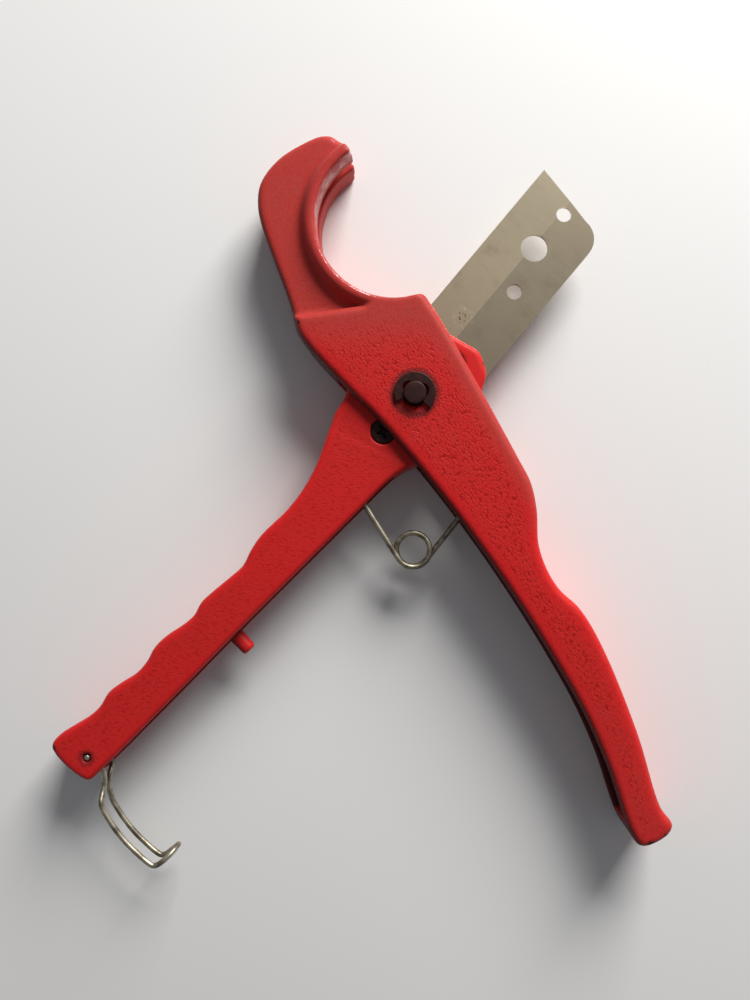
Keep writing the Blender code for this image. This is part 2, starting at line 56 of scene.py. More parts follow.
Faces = list[NDArray[np.int64]]
OutlinePoint = tuple[float, ...]
Pair = tuple[float, float]
Triple = tuple[float, float, float]
Colour = Triple
Place = Triple

log = logging.getLogger("pipe_cutter")
MM = 0.001

# Third value of an outline's point where the outline turns sharply.
CORNER = 1.0
# In millimetres: height of the tool's middle plane, radius of both castings' bores for the pin, and place of
# the latch bail's hinge.
MIDDLE = 10.0
PIN_BORE = 3.15
BAIL_HINGE = (-87.8, -97.0)
# Turn of the blade's length from +X with the tool open, in degrees, and its screws, along and across it.
BLADE_TURN = 50.0
SCREWS = {"blade_screw_upper": (12.5, -2.1), "blade_screw_lower": (-12.9, 0.3)}
# Direction that the flanks with painted shade face, away from the key light.
SHADED_SIDE = (-0.77, -0.638, 0.0)


class Body(Enum):
    """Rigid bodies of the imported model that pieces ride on."""

    FRAME = "frame"
    HANDLE = "blade_handle"
    SPRING_FRAME = "spring_frame_half"
    SPRING_HANDLE = "spring_handle_half"
    LATCH = "latch_bail"


class Slot(Enum):
    """Material slots of the record."""

    PAINT = "casting_paint"
    BLADE = "blade_steel"
    BLACK = "black_steel"
    WIRE = "plated_wire"


# ---------------------------------------------------------------------------------------------- outlines


def blade_to_tool(along: float, across: float) -> Pair:
    """Turns a place in the blade's own axes into one in the tool's, with the tool open."""
    turn = math.radians(BLADE_TURN)
    return along * math.cos(turn) - across * math.sin(turn), along * math.sin(turn) + across * math.cos(turn)


def smooth_run(points: Sequence[OutlinePoint] | Array, steps: int) -> Array:
    """Centripetal Catmull-Rom curve through an open run of points.

    Each span is a cubic Hermite curve whose knot gaps are the square roots of the spans' lengths.

    Args:
        points: The run's points, carried on straight past both ends.
        steps: Curve points for each span.

    Returns:
        The curve's points, one row each.
    """
    run = np.asarray(points, float)
    run = np.vstack([2 * run[0] - run[1], run, 2 * run[-1] - run[-2]])
    spans = np.diff(run, axis=0)
    gaps = np.sqrt(np.linalg.norm(spans, axis=1))[:, None]
    slopes = spans / gaps
    tangents = (slopes[:-1] * gaps[1:] + slopes[1:] * gaps[:-1]) / (gaps[:-1] + gaps[1:])
    leave = tangents[:-1] * gaps[1:-1]
    arrive = tangents[1:] * gaps[1:-1]
    t = np.linspace(0, 1, steps, endpoint=False)[:, None, None]
    curve = (2 * t**3 - 3 * t**2 + 1) * run[1:-2] + (3 * t**2 - 2 * t**3) * run[2:-1]
    curve = curve + (t**3 - 2 * t**2 + t) * leave + (t**3 - t**2) * arrive
    return np.vstack([curve.transpose(1, 0, 2).reshape(-1, run.shape[1]), run[-2]])


def smooth_loop(points: Sequence[OutlinePoint], steps: int) -> Array:
    """Closed outline: straight between two corners, and a smooth curve through the points between them.

    Args:
        points: (x, y) for a smooth point, or (x, y, CORNER).
        steps: Curve points for each smooth span.

    Returns:
        The outline's points.
    """
    corners = [i for i, point in enumerate(points) if len(point) == 3]
    flat = [point[:2] for point in points]
    pieces: list[Array] = []
    for first, last in zip(corners, corners[1:] + [corners[0] + len(points)]):
        run = np.array([flat[i % len(flat)] for i in range(first, last + 1)])
        pieces.append(run[:1] if len(run) == 2 else smooth_run(run, steps)[:-1])
    return np.vstack(pieces)


def arc_points(radius: float, start: float, end: float, count: int) -> Array:
    """Points of an arc about the pivot from one angle to another, in degrees."""
    angles = np.radians(np.linspace(start, end, count))
    return radius * np.column_stack([np.cos(angles), np.sin(angles)])


def outline_distance(loop: Array, x: Array, y: Array) -> Array:
    """Signed distance to a closed outline: the shortest way to any of its edges, negative inside.

    Args:
        loop: The outline's points.
        x: Places to measure from, any shape.
        y: The same places' second coordinate.

    Returns:
        One distance for each place.
    """
    nearest = np.full(x.shape, np.inf)
    inside = np.zeros(x.shape, bool)
    for (ax, ay), (bx, by) in zip(loop, np.roll(loop, -1, axis=0)):
        ex, ey = bx - ax, by - ay
        share = np.clip(((x - ax) * ex + (y - ay) * ey) / (ex * ex + ey * ey), 0, 1)
        nearest = np.minimum(nearest, np.hypot(x - ax - share * ex, y - ay - share * ey))
        if ey:
            inside ^= ((ay > y) != (by > y)) & (x < ax + (y - ay) * ex / ey)
    return np.where(inside, -nearest, nearest)


# ------------------------------------------------------------------------------------- implicit solids


def rounded(a: Array, b: Array, radius: float) -> Array:
    """Overlap of two solids with a rounded edge: the distance from a box's corner, less the radius."""
    a, b = a + radius, b + radius
    return np.minimum(np.maximum(a, b), 0) + np.hypot(np.maximum(a, 0), np.maximum(b, 0)) - radius


def slab(flat: Array, z: Array, half: Array | float, radius: float, middle: float = MIDDLE) -> Array:
    """Outline's distance given a thickness of twice the half about a height, with its edges rounded."""
    return rounded(flat, np.abs(z - middle) - half, radius)


def melt(a: Array, b: Array, width: float) -> Array:
    """Union with a fillet: the smaller of two distances, eased where they differ by less than the width."""
    share = np.clip(0.5 + 0.5 * (b - a) / width, 0, 1)
    return b + (a - b) * share - width * share * (1 - share)


def carve(solid: Array, tool: Array, width: float) -> Array:
    """Cut with a softened edge: the solid less the tool."""
    return -melt(-solid, tool, width)


def ease(value: Array, low: float, high: float) -> Array:
    """Smooth step from 0 to 1 between two values."""
    share = np.clip((value - low) / (high - low), 0, 1)
    return share * share * (3 - 2 * share)


@dataclass(frozen=True)
class Lattice:
    """Box of evenly spaced places that a solid's distance is worked out on, in millimetres.

    Attributes:
        low: Lowest corner.
        high: Highest corner, passed by less than one step.
        pitch: Step along each axis.
    """

    low: Triple
    high: Triple
    pitch: Triple

    def axes(self) -> tuple[Array, Array, Array]:
        """Coordinates along X, Y and Z, shaped to broadcast against each other."""
        box = zip(self.low, self.high, self.pitch)
        x, y, z = (low + step * np.arange(math.ceil((high - low) / step) + 1) for low, high, step in box)
        return x[:, None, None], y[None, :, None], z[None, None, :]

    def plan(self) -> tuple[Array, Array]:
        """X and Y of every column, with a last axis of one."""
        x, y, _ = self.axes()
        return tuple(np.broadcast_arrays(x, y))

    def skin(self, values: Array) -> tuple[Array, Faces]:
        """Net of quads over the zero surface.

        A lattice cell that the surface crosses gets one point, the mean of the crossings on its edges. A
        lattice edge that the surface crosses gets one quad, between the points of the four cells round it.

        Args:
            values: Signed distance at each lattice place, negative inside.

        Returns:
            Points in millimetres and the quads, which face outwards.
        """
        values = np.ascontiguousarray(np.broadcast_to(values, tuple(axis.size for axis in self.axes())))
        corners = np.array(list(product((0, 1), repeat=3)))
        edges = [(a, b) for a, b in combinations(range(8), 2) if abs(corners[a] - corners[b]).sum() == 1]
        inside = values < 0
        nx, ny, nz = (n - 1 for n in values.shape)
        filled = sum(inside[i : i + nx, j : j + ny, k : k + nz].astype(np.int8) for i, j, k in corners)
        crossed = (filled > 0) & (filled < 8)
        cells = np.argwhere(crossed)
        number = np.full(crossed.shape, -1, np.int64)
        number[crossed] = np.arange(len(cells))
        at = cells[:, None, :] + corners[None, :, :]
        sampled = values[at[..., 0], at[..., 1], at[..., 2]]
        total = np.zeros((len(cells), 3))
        count = np.zeros(len(cells))
        for a, b in edges:
            here = (sampled[:, a] < 0) != (sampled[:, b] < 0)
            share = sampled[:, a] / np.where(here, sampled[:, a] - sampled[:, b], 1.0)
            total += np.where(here[:, None], corners[a] + share[:, None] * (corners[b] - corners[a]), 0.0)
            count += here
        points = np.array(self.low) + (cells + total / count[:, None]) * np.array(self.pitch)
        return points, [np.vstack([self._walls(inside, number, axis) for axis in range(3)])]

    @staticmethod
    def _walls(inside: NDArray[np.bool_], number: NDArray[np.int64], axis: int) -> NDArray[np.int64]:
        """Quads round the crossed lattice edges that run along one axis.

        Args:
            inside: Whether each lattice place lies in the solid.
            number: The point of each crossed cell.
            axis: The axis.

        Returns:
            Four points for each quad, which faces outwards.
        """
        change = inside != np.roll(inside, -1, axis)
        change[tuple(-1 if i == axis else slice(None) for i in range(3))] = False
        places = np.argwhere(change)
        one, two = np.eye(3, dtype=int)[[(axis + 1) % 3, (axis + 2) % 3]]
        around = (0 * one, one, one + two, two)
        quads = np.column_stack([number[tuple((places - step).T)] for step in around])
        return np.where(inside[tuple(places.T)][:, None], quads, quads[:, ::-1])


# ---------------------------------------------------------------------------------------------- meshes


def put_mesh(name: str, points: Array, faces: Faces, sharp: float | None = None,
             edge: Array | None = None) -> bpy.types.Object:
    """New object at the origin with the given surface.

    Args:
        name: The piece's name.
        points: Places in millimetres.
        faces: Arrays of faces, each array with one number of corners.
        sharp: Angle in degrees above which an edge stays crisp, or None for smooth all over.
        edge: Each point's distance in from the outline, kept as the attribute "edge" for the finish.

    Returns:
        The object, linked to the scene.
    """
    mesh = bpy.data.meshes.new(name)
    sizes = np.concatenate([np.full(len(block), block.shape[1]) for block in faces]).astype(np.int32)
    corners = np.concatenate([block.ravel() for block in faces]).astype(np.int32)
    mesh.vertices.add(len(points))
    mesh.vertices.foreach_set("co", (points * MM).astype(np.float32).ravel())
    mesh.loops.add(len(corners))
    mesh.loops.foreach_set("vertex_index", corners)
    mesh.polygons.add(len(sizes))
    mesh.polygons.foreach_set("loop_start", (np.cumsum(sizes) - sizes).astype(np.int32))
    mesh.update(calc_edges=True)
    mesh.validate()
    if edge is not None:
        mesh.attributes.new("edge", "FLOAT", "POINT").data.foreach_set("value", edge.astype(np.float32))
    mesh.shade_smooth()
    if sharp is not None:
        mesh.set_sharp_from_angle(angle=math.radians(sharp))
    obj = bpy.data.objects.new(name, mesh)
    bpy.context.scene.collection.objects.link(obj)
    return obj


def mark_painted_shade(obj: bpy.types.Object, edge: Array, channel: Array, depth: Array) -> None:
    """Keeps a point attribute of painted shade: how squarely a point faces away from the light, or how deep it
    lies in a channel, where shade falls.

    Args:
        obj: The casting.
        edge: Each point's distance in from the outline, in millimetres.
        channel: Each point's distance out from the channel's plan.
        depth: How far each point lies below the channel's lips.
    """
    normals = np.empty(3 * len(obj.data.vertices), np.float32)
    obj.data.vertices.foreach_get("normal", normals)
    # Painted shade: flanks facing away from the key light, and the hollow of the channel, where shade falls.
    facing = normals.reshape(-1, 3) @ np.array(SHADED_SIDE, np.float32) * ease(-edge, -2.6, -1.6)
    hollow = ease(-channel, -0.6, 0.6) * ease(edge, -0.2, 0.3) * ease(depth, -0.3, 0.0)
    painted_shade = np.maximum(facing, hollow).astype(np.float32)
    obj.data.attributes.new("painted_shade", "FLOAT", "POINT").data.foreach_set("value", painted_shade)


def ring_faces(rings: int, sides: int) -> Faces:
    """Quads between rings of points that follow each other, and a flat cap on the first and the last ring.

    Args:
        rings: Number of rings.
        sides: Points round each ring.

    Returns:
        The quads and the caps.
    """
    index = np.arange(rings * sides).reshape(rings, sides)
    ahead = np.roll(index, -1, axis=1)
    walls = np.stack([index[:-1], index[1:], ahead[1:], ahead[:-1]], axis=-1).reshape(-1, 4)
    return [walls, np.array([index[0], index[-1][::-1]])]


def tube(path: Array, radius: float, guide: Place, sides: int = 20) -> tuple[Array, Faces]:
    """Circle carried along a path, a little smaller at its two flat ends.

    The ring's two directions are the tangent crossed with a fixed guide direction, and that crossed with the
    tangent again, so the guide must never lie along the path.

    Args:
        path: The wire's centre line.
        radius: The wire's radius.
        guide: Direction that fixes the rings' turn.
        sides: Points round a ring.

    Returns:
        Points and faces.
    """
    tangent = np.gradient(path, axis=0)
    tangent /= np.linalg.norm(tangent, axis=1)[:, None]
    side = np.cross(tangent, np.array(guide))
    side /= np.linalg.norm(side, axis=1)[:, None]
    up = np.cross(side, tangent)
    reach = np.full((len(path), 1, 1), radius)
    reach[[0, -1]] *= 0.82
    turn = np.linspace(0, 2 * np.pi, sides, endpoint=False)[None, :, None]
    rings = path[:, None, :] + reach * (np.cos(turn) * side[:, None, :] + np.sin(turn) * up[:, None, :])
    return rings.reshape(-1, 3), ring_faces(len(path), sides)


def turned(profile: Sequence[Pair], sides: int) -> tuple[Array, Faces]:
    """Profile turned about the pivot's axis: each of its points is carried round a circle.

    Args:
        profile: (radius, height) of each point, from the top down.
        sides: Points round a circle.

    Returns:
        Points and faces, with a flat cap on both ends.
    """
    radius, height = np.array(profile).T
    turn = np.linspace(0, 2 * np.pi, sides, endpoint=False)
    x, y = radius[:, None] * np.cos(turn), radius[:, None] * np.sin(turn)
    z = np.broadcast_to(height[:, None], x.shape)
    return np.stack([x, y, z], axis=-1).reshape(-1, 3), ring_faces(len(profile), sides)


# ------------------------------------------------------------------------------------------- materials


class Shade:
    """Number, vector or colour inside a material, on which Python's arithmetic adds Math nodes."""

    def __init__(self, graph: "Graph", socket: bpy.types.NodeSocket) -> None:
        """Wraps an output socket of a graph's node."""
        self.graph = graph
        self.socket = socket

    def _maths(self, operation: str, *values: "Operand", clamp: bool = False) -> "Shade":
        """Math node on the given operands."""
        settings = {"operation": operation, "use_clamp": clamp}
        return self.graph.node("ShaderNodeMath", settings, dict(enumerate(values)))

    def __add__(self, other: "Operand") -> "Shade":
        """Sum."""
        return self._maths("ADD", self, other)

    def __sub__(self, other: "Operand") -> "Shade":
        """Difference."""
        return self._maths("SUBTRACT", self, other)

    def __mul__(self, other: "Operand") -> "Shade":
        """Product."""
        return self._maths("MULTIPLY", self, other)

    def __truediv__(self, other: "Operand") -> "Shade":
        """Quotient."""
        return self._maths("DIVIDE", self, other)

    def __rsub__(self, other: "Operand") -> "Shade":
        """Reflected difference."""
        return self._maths("SUBTRACT", other, self)

    __radd__ = __add__
    __rmul__ = __mul__

    def __abs__(self) -> "Shade":
        """Value without its sign."""
        return self._maths("ABSOLUTE", self)

    def ramp(self, low: float, high: float) -> "Shade":
        """Smooth step from 0 at low to 1 at high; high may be the smaller."""
        share = self._maths("DIVIDE", self - low, high - low, clamp=True)
        return share * share * (3 - 2 * share)


Operand = float | Shade


@dataclass(frozen=True)
class Band:
    """Stretch over which something fades in along a direction, in metres.

    Attributes:
        direction: The direction, of length 1.
        start: Where it begins.
        end: From where on it is full.
    """

    direction: Place
    start: float
    end: float


@dataclass(frozen=True)
class Ring:
    """Soft circle round a place, or a soft ball where its radius is 0, in metres.

    Attributes:
        centre: The place.
        radius: Radius of the circle.
        full: How far from the circle it stays full.
        reach: How far from the circle it ends.
    """

    centre: Place
    radius: float
    full: float
    reach: float


class Graph:
    """Node tree of one material round its Principled shader."""

    def __init__(self, name: str) -> None:
        """Makes an empty material.

        Args:
            name: The material's name.
        """
        self.material = bpy.data.materials.new(name)
        self.material.use_nodes = True
        self.tree = self.material.node_tree
        self.shader = self.tree.nodes["Principled BSDF"]

    def node(self, kind: str, settings: dict[str, Any], inputs: dict[Any, Any], output: Any = 0) -> Shade:
        """Adds a node.

        Args:
            kind: The node's type.
            settings: Its own properties, set before its sockets.
            inputs: A value or a Shade for each named or numbered input.
            output: The output wanted back.

        Returns:
            That output.
        """
        node = self.tree.nodes.new(kind)
        for name, value in settings.items():
            setattr(node, name, value)
        self.feed(node, inputs)
        return Shade(self, node.outputs[output])

    def feed(self, node: bpy.types.Node, inputs: dict[Any, Any]) -> None:
        """Links each Shade to its socket and sets each plain value on its own."""
        for name, value in inputs.items():
            if isinstance(value, Shade):
                self.tree.links.new(value.socket, node.inputs[name])
            else:
                node.inputs[name].default_value = value

    def place(self) -> Shade:
        """Object coordinates, in metres."""
        return self.node("ShaderNodeTexCoord", {}, {}, "Object")

    def attribute(self, name: str) -> Shade:
        """Value that the piece's mesh holds under a name."""
        return self.node("ShaderNodeAttribute", {"attribute_name": name}, {}, "Fac")

    def along(self, place: Shade, direction: Place) -> Shade:
        """How far a place lies along a direction."""
        return self.vector("DOT_PRODUCT", place, direction, output="Value")

    def vector(self, operation: str, *values: Any, output: Any = 0) -> Shade:
        """Vector Math node on the given operands."""
        return self.node("ShaderNodeVectorMath", {"operation": operation}, dict(enumerate(values)), output)

    def inside(self, place: Shade, spots: Sequence[Band | Ring]) -> Operand:
        """How far a place lies inside any of some bands and rings.

        Args:
            place: The place.
            spots: The bands and rings, of which each covers its share of what the others leave free.

        Returns:
            From 0, outside them all, to 1.
        """
        total: Operand = 0.0
        for spot in spots:
            if isinstance(spot, Band):
                share = self.along(place, spot.direction).ramp(spot.start, spot.end)
            else:
                away = self.vector("DISTANCE", place, spot.centre, output="Value")
                share = abs(away - spot.radius).ramp(spot.reach, spot.full)
            total = total + share * (1 - total)
        return total

    def noise(self, place: Shade, scale: float, detail: float, rough: float, bend: float = 0.0) -> Shade:
        """Cloudy noise from 0 to 1."""
        inputs = {"Vector": place, "Scale": scale, "Detail": detail, "Roughness": rough, "Distortion": bend}
        return self.node("ShaderNodeTexNoise", {}, inputs)

    def cells(self, place: Shade, scale: float, output: str = "Distance") -> Shade:
        """Distance to the nearest of scattered points, or that point's colour."""
        return self.node("ShaderNodeTexVoronoi", {}, {"Vector": place, "Scale": scale}, output)

    def stretch(self, place: Shade, turn: float, scale: Place) -> Shade:
        """Place turned about Z by an angle in degrees and then scaled."""
        inputs = {"Vector": place, "Angle": math.radians(turn)}
        aligned = self.node("ShaderNodeVectorRotate", {"rotation_type": "Z_AXIS"}, inputs)
        return self.vector("MULTIPLY", aligned, scale)

    def warp(self, place: Shade, scale: float, reach: float) -> Shade:
        """Place pushed about by coloured noise.

        Args:
            place: The place.
            scale: Scale of the noise.
            reach: About twice the furthest push, in metres.

        Returns:
            The place plus the reach times the noise's colour less a mid grey.
        """
        push = self.node("ShaderNodeTexNoise", {}, {"Vector": place, "Scale": scale, "Detail": 1.0}, "Color")
        push = self.vector("SUBTRACT", push, (0.5, 0.5, 0.5))
        return self.vector("MULTIPLY_ADD", push, (reach, reach, reach), place)

    def mix(self, low: Any, high: Any, share: Operand) -> Shade:
        """Colour between two colours."""
        low, high = (value if isinstance(value, Shade) else (*value, 1.0) for value in (low, high))
        return self.node("ShaderNodeMix", {"data_type": "RGBA"}, {0: share, 6: low, 7: high}, 2)

    def bump(self, height: Shade, distance: float) -> Shade:
        """Normal bent by a height that is counted in the given distance, in metres."""
        return self.node("ShaderNodeBump", {}, {"Height": height, "Distance": distance, "Strength": 1.0})

    def finish(self, inputs: dict[str, Any]) -> bpy.types.Material:
        """Feeds the shader and hands over the material."""
        self.feed(self.shader, inputs)
        return self.material


@dataclass(frozen=True)
class PaintSpots:
    """Where one casting's paint differs from the rest.

    Attributes:
        wrinkle_turn: Direction in which its wrinkles run, in degrees from +X.
        border: Width of the smooth border inside its outline, in millimetres.
        depth: Strength of its wrinkles, as a share of the fullest.
        rubbed: Where hands have rubbed it smooth and dull, and where its colour also carries a painted sheen.
        smooth: Where it has no wrinkles.
        polished: Where pipes have polished its edges.
        dirt_and_shade_rings: Where it darkens in soft rings round parts: dirt, and painted shade round the pin
            and in the hollows of a screw seat and the bail's hinge.
        chips: Where it is chipped.
    """

    wrinkle_turn: float
    border: float
    depth: float
    rubbed: tuple[Band, ...] = ()
    smooth: tuple[Ring, ...] = ()
    polished: tuple[Ring, ...] = ()
    dirt_and_shade_rings: tuple[Ring, ...] = ()
    chips: tuple[Ring, ...] = ()


@dataclass(frozen=True)
class HammerPaint:
    """Thick red powder paint whose skin has dried in small pebbles with creases between them.

    Attributes:
        base: Colour of most of the paint.
        bright: Fresher red, where the skin is smooth beside an edge.
        shade_red: Deep red painted as shade in the creases between the pebbles, and laid on as a fine random
            mottle.
        dull: Greyish brown red of rubbed paint, which also stands for a painted sheen.
        primer_and_shade: Dark colour of a chip, also laid on as painted shade and with the dirt rings.
        pebble: Width of one pebble, in metres.
        relief: Height of the pebbles, in metres.
    """

    base: Colour = (0.57, 0.020, 0.018)
    bright: Colour = (0.66, 0.016, 0.017)
    shade_red: Colour = (0.32, 0.0, 0.0)
    dull: Colour = (0.41, 0.050, 0.040)
    primer_and_shade: Colour = (0.035, 0.012, 0.012)
    pebble: float = 0.0012
    relief: float = 0.00010

    def material(self, name: str, spots: PaintSpots) -> bpy.types.Material:
        """Builds the finish for one casting.

        Pebbles and creases fade out where the paint is smooth and towards the casting's border. Colours are
        laid over each other from the plain paint, with a painted sheen where it is rubbed and painted shade in
        the creases, up to dirt, painted shade and chips.

        Args:
            name: The material's name.
            spots: Where the casting's paint differs.

        Returns:
            The material.
        """
        graph = Graph(name)
        place = graph.place()
        edge = graph.attribute("edge")
        worn_and_sheen = graph.inside(place, spots.rubbed)
        smooth = worn_and_sheen + graph.inside(place, spots.smooth)
        border = edge.ramp(spots.border, 0.55 * spots.border)
        calm = spots.depth * (1 - 0.85 * smooth) * (1 - 0.7 * border)
        skin = self._skin(graph, place, spots.wrinkle_turn)
        creases = skin.ramp(0.5, 0.85)
        grain = graph.noise(place, 3.4 / self.pebble, 2.0, 0.6)
        cloud = graph.noise(place, 38.0, 3.0, 0.55)
        streak = graph.noise(place, 210.0, 3.0, 0.6, 0.4)
        chips = self._chips(graph, place, spots.chips)
        polish = graph.inside(place, spots.polished)
        # Dirt and painted shade in dark rings round the pin, a screw seat and the bail's hinge.
        dirt_and_shade = graph.inside(place, spots.dirt_and_shade_rings) * (0.35 + 0.5 * streak)
        colour = graph.mix(self.base, self.bright, 0.4 * cloud.ramp(0.35, 0.7) + 0.5 * border + 0.4 * smooth)
        # Rubbed areas turn greyish brown: partly wear, partly a painted sheen.
        colour = graph.mix(colour, self.dull, 0.75 * worn_and_sheen + 0.2 * streak.ramp(0.55, 0.8))
        # Painted shade: the creases between the pebbles are darkened.
        colour = graph.mix(colour, self.shade_red, creases * (0.1 + 0.55 * calm))
        colour = graph.mix(colour, self.shade_red, grain.ramp(0.5, 0.75) * (0.15 + 0.35 * worn_and_sheen))
        colour = graph.mix(colour, self.primer_and_shade, dirt_and_shade)
        # Painted shade on the flanks that face away from the light and deep in the channels.
        colour = graph.mix(colour, self.primer_and_shade, 0.9 * graph.attribute("painted_shade").ramp(0.4, 0.9))
        colour = graph.mix(colour, self.primer_and_shade, chips)
        height = (1 - skin * skin) * calm + 0.08 * grain - 0.4 * chips
        return graph.finish({
            "Base Color": colour,
            "Roughness": 0.38 + 0.12 * streak + 0.06 * worn_and_sheen + 0.2 * chips,
            "Normal": graph.bump(height, self.relief),
            "Specular IOR Level": 0.18,
            "Coat Weight": polish * edge.ramp(1.6, 0.8) * streak.ramp(0.35, 0.6),
            "Coat Roughness": 0.10,
            "Sheen Weight": 0.05,
            "Sheen Roughness": 0.4,
        })

    def _skin(self, graph: Graph, place: Shade, turn: float) -> Shade:
        """Pebbled skin: distance from scattered cell middles, with the cells drawn out along the wrinkles."""
        fine = 1 / self.pebble
        bent = graph.warp(place, 1.8 * fine, 0.8 * self.pebble)
        return graph.cells(graph.stretch(bent, -turn, (1.15 * fine, 2.5 * fine, 1.7 * fine)), 1.0)

    def _chips(self, graph: Graph, place: Shade, chips: Sequence[Ring]) -> Shade:
        """Ragged chips at chosen places, and specks in the middle of a few cells scattered over the casting.

        Args:
            graph: The paint's graph.
            place: The place.
            chips: The chosen places.

        Returns:
            1 where the paint is gone, 0 elsewhere.
        """
        ragged = graph.warp(place, 900.0, 0.0012)
        chosen = graph.along(graph.cells(ragged, 120.0, "Color"), (1.0, 0.0, 0.0))
        specks = graph.cells(ragged, 120.0).ramp(0.04, 0.02) * chosen.ramp(0.86, 0.9)
        return specks + graph.inside(ragged, chips) * (1 - specks)


@dataclass(frozen=True)
class GroundSteel:
    """Blade steel: ground across its length, lighter on the bevel, with a little rust by the head, painted
    shade towards its far end and a painted highlight on the bevel by the head.

    Attributes:
        flat: Colour of the flat.
        bevel: Colour of the bevel.
        gleam: Colour of the bevel near the head, where it catches the light.
        far_end_shade: Colour of the painted shade that dims the blade towards its far end.
        grain: Colour of the grinding marks.
        scratch: Colour of the finer scratches.
        stain: Colour of the stains.
        rust: Colour of the rust specks.
        bevel_start: Where the bevel starts, across the blade, in metres.
        near: Where, along the blade, the part near the head begins and where it is full, in metres.
        rusted: Where rust has set in.
    """

    flat: Colour = (0.55, 0.465, 0.33)
    bevel: Colour = (0.70, 0.60, 0.43)
    gleam: Colour = (0.95, 0.77, 0.52)
    far_end_shade: Colour = (0.05, 0.045, 0.04)
    grain: Colour = (0.25, 0.205, 0.15)
    scratch: Colour = (0.52, 0.46, 0.35)
    stain: Colour = (0.27, 0.21, 0.14)
    rust: Colour = (0.045, 0.022, 0.012)
    bevel_start: float = 0.002
    near: Pair = (0.07, 0.025)
    rusted: tuple[Ring, ...] = (Ring((0.0132, 0.0222, 0.0105), 0.0, 0.0010, 0.0036),)

    def material(self, name: str) -> bpy.types.Material:
        """Builds the finish.

        Args:
            name: The material's name.

        Returns:
            The material.
        """
        graph = Graph(name)
        place = graph.place()
        near_head = graph.along(place, (*blade_to_tool(1.0, 0.0), 0.0)).ramp(*self.near)
        across = graph.along(place, (*blade_to_tool(0.0, 1.0), 0.0))
        ground = across.ramp(self.bevel_start - 0.00004, self.bevel_start + 0.00004)
        grain = graph.noise(graph.stretch(place, -BLADE_TURN, (5200.0, 130.0, 800.0)), 1.0, 3.0, 0.65)
        scratch = graph.noise(graph.stretch(place, -BLADE_TURN - 8.0, (2200.0, 45.0, 300.0)), 1.0, 2.0, 0.5)
        stain = graph.noise(place, 120.0, 4.0, 0.6)
        specks = graph.noise(place, 1500.0, 2.0, 0.6).ramp(0.54, 0.60) * graph.inside(place, self.rusted)
        specks = specks + 0.5 * graph.noise(place, 900.0, 3.0, 0.7).ramp(0.72, 0.78) * (1 - specks)
        colour = graph.mix(self.flat, self.bevel, ground)
        # Painted shade dims the blade away from the head.
        colour = graph.mix(graph.mix(colour, self.far_end_shade, 0.22), colour, near_head)
        # Painted highlight on the bevel by the head.
        colour = graph.mix(colour, self.gleam, 0.85 * near_head * ground)
        colour = graph.mix(colour, self.grain, 0.30 * grain.ramp(0.42, 0.75))
        colour = graph.mix(colour, self.scratch, 0.16 * scratch.ramp(0.55, 0.72))
        colour = graph.mix(colour, self.stain, 0.30 * stain.ramp(0.5, 0.75))
        colour = graph.mix(colour, self.rust, specks)
        return graph.finish({
            "Base Color": colour,
            "Metallic": 1 - 0.8 * specks,
            "Roughness": 0.28 + 0.14 * grain - 0.04 * ground + 0.3 * specks,
            "Normal": graph.bump(grain + 0.6 * scratch, 0.000006),
        })


@dataclass(frozen=True)
class BlackOxide:
    """Blackened steel, brown where it is rubbed.

    Attributes:
        base: Colour of the black.
        rubbed: Colour of the rubbed patches.
    """

    base: Colour = (0.024, 0.007, 0.006)
    rubbed: Colour = (0.042, 0.013, 0.010)

    def material(self, name: str) -> bpy.types.Material:
        """Builds the finish.

        Args:
            name: The material's name.

        Returns:
            The material.
        """
        graph = Graph(name)
        place = graph.place()
        wear = graph.noise(place, 420.0, 4.0, 0.6)
        grain = graph.noise(place, 3600.0, 2.0, 0.6)
        return graph.finish({
            "Base Color": graph.mix(self.base, self.rubbed, wear.ramp(0.4, 0.7)),
            "Roughness": 0.34 + 0.12 * grain + 0.1 * wear,
            "Normal": graph.bump(grain, 0.00001),
            "Specular IOR Level": 0.22,
        })


@dataclass(frozen=True)
class PlatedWire:
    """Drawn spring wire, plated, with dull patches.

    Attributes:
        bright: Colour of the plating.
        dull: Colour of the dull patches.
    """

    bright: Colour = (0.55, 0.50, 0.38)
    dull: Colour = (0.19, 0.16, 0.115)

    def material(self, name: str) -> bpy.types.Material:
        """Builds the finish.

        Args:
            name: The material's name.

        Returns:
            The material.
        """
        graph = Graph(name)
        place = graph.place()
        patches = graph.noise(place, 260.0, 4.0, 0.6)
        grain = graph.noise(place, 2800.0, 2.0, 0.6)
        return graph.finish({
            "Base Color": graph.mix(self.bright, self.dull, patches.ramp(0.36, 0.66)),
            "Metallic": 0.9,
            "Roughness": 0.30 + 0.2 * patches,
            "Normal": graph.bump(grain, 0.000008),
        })


def fit(obj: bpy.types.Object, material: bpy.types.Material, body: Body, node: str) -> None:
    """Dresses a finished piece, ties it to the body that it rides on and hides the CAD node that it stands
    for.

    Args:
        obj: The piece.
        material: Its finish.
        body: The body that it rides on.
        node: The CAD node that it stands for.
    """
    obj.data.materials.clear()
    obj.data.materials.append(material)
    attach(obj, body.value)
    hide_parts(node)
    log.info("%s: %d faces, rides on %s", obj.name, len(obj.data.polygons), body.value)


# ---------------------------------------------------------------------------------------------- pieces


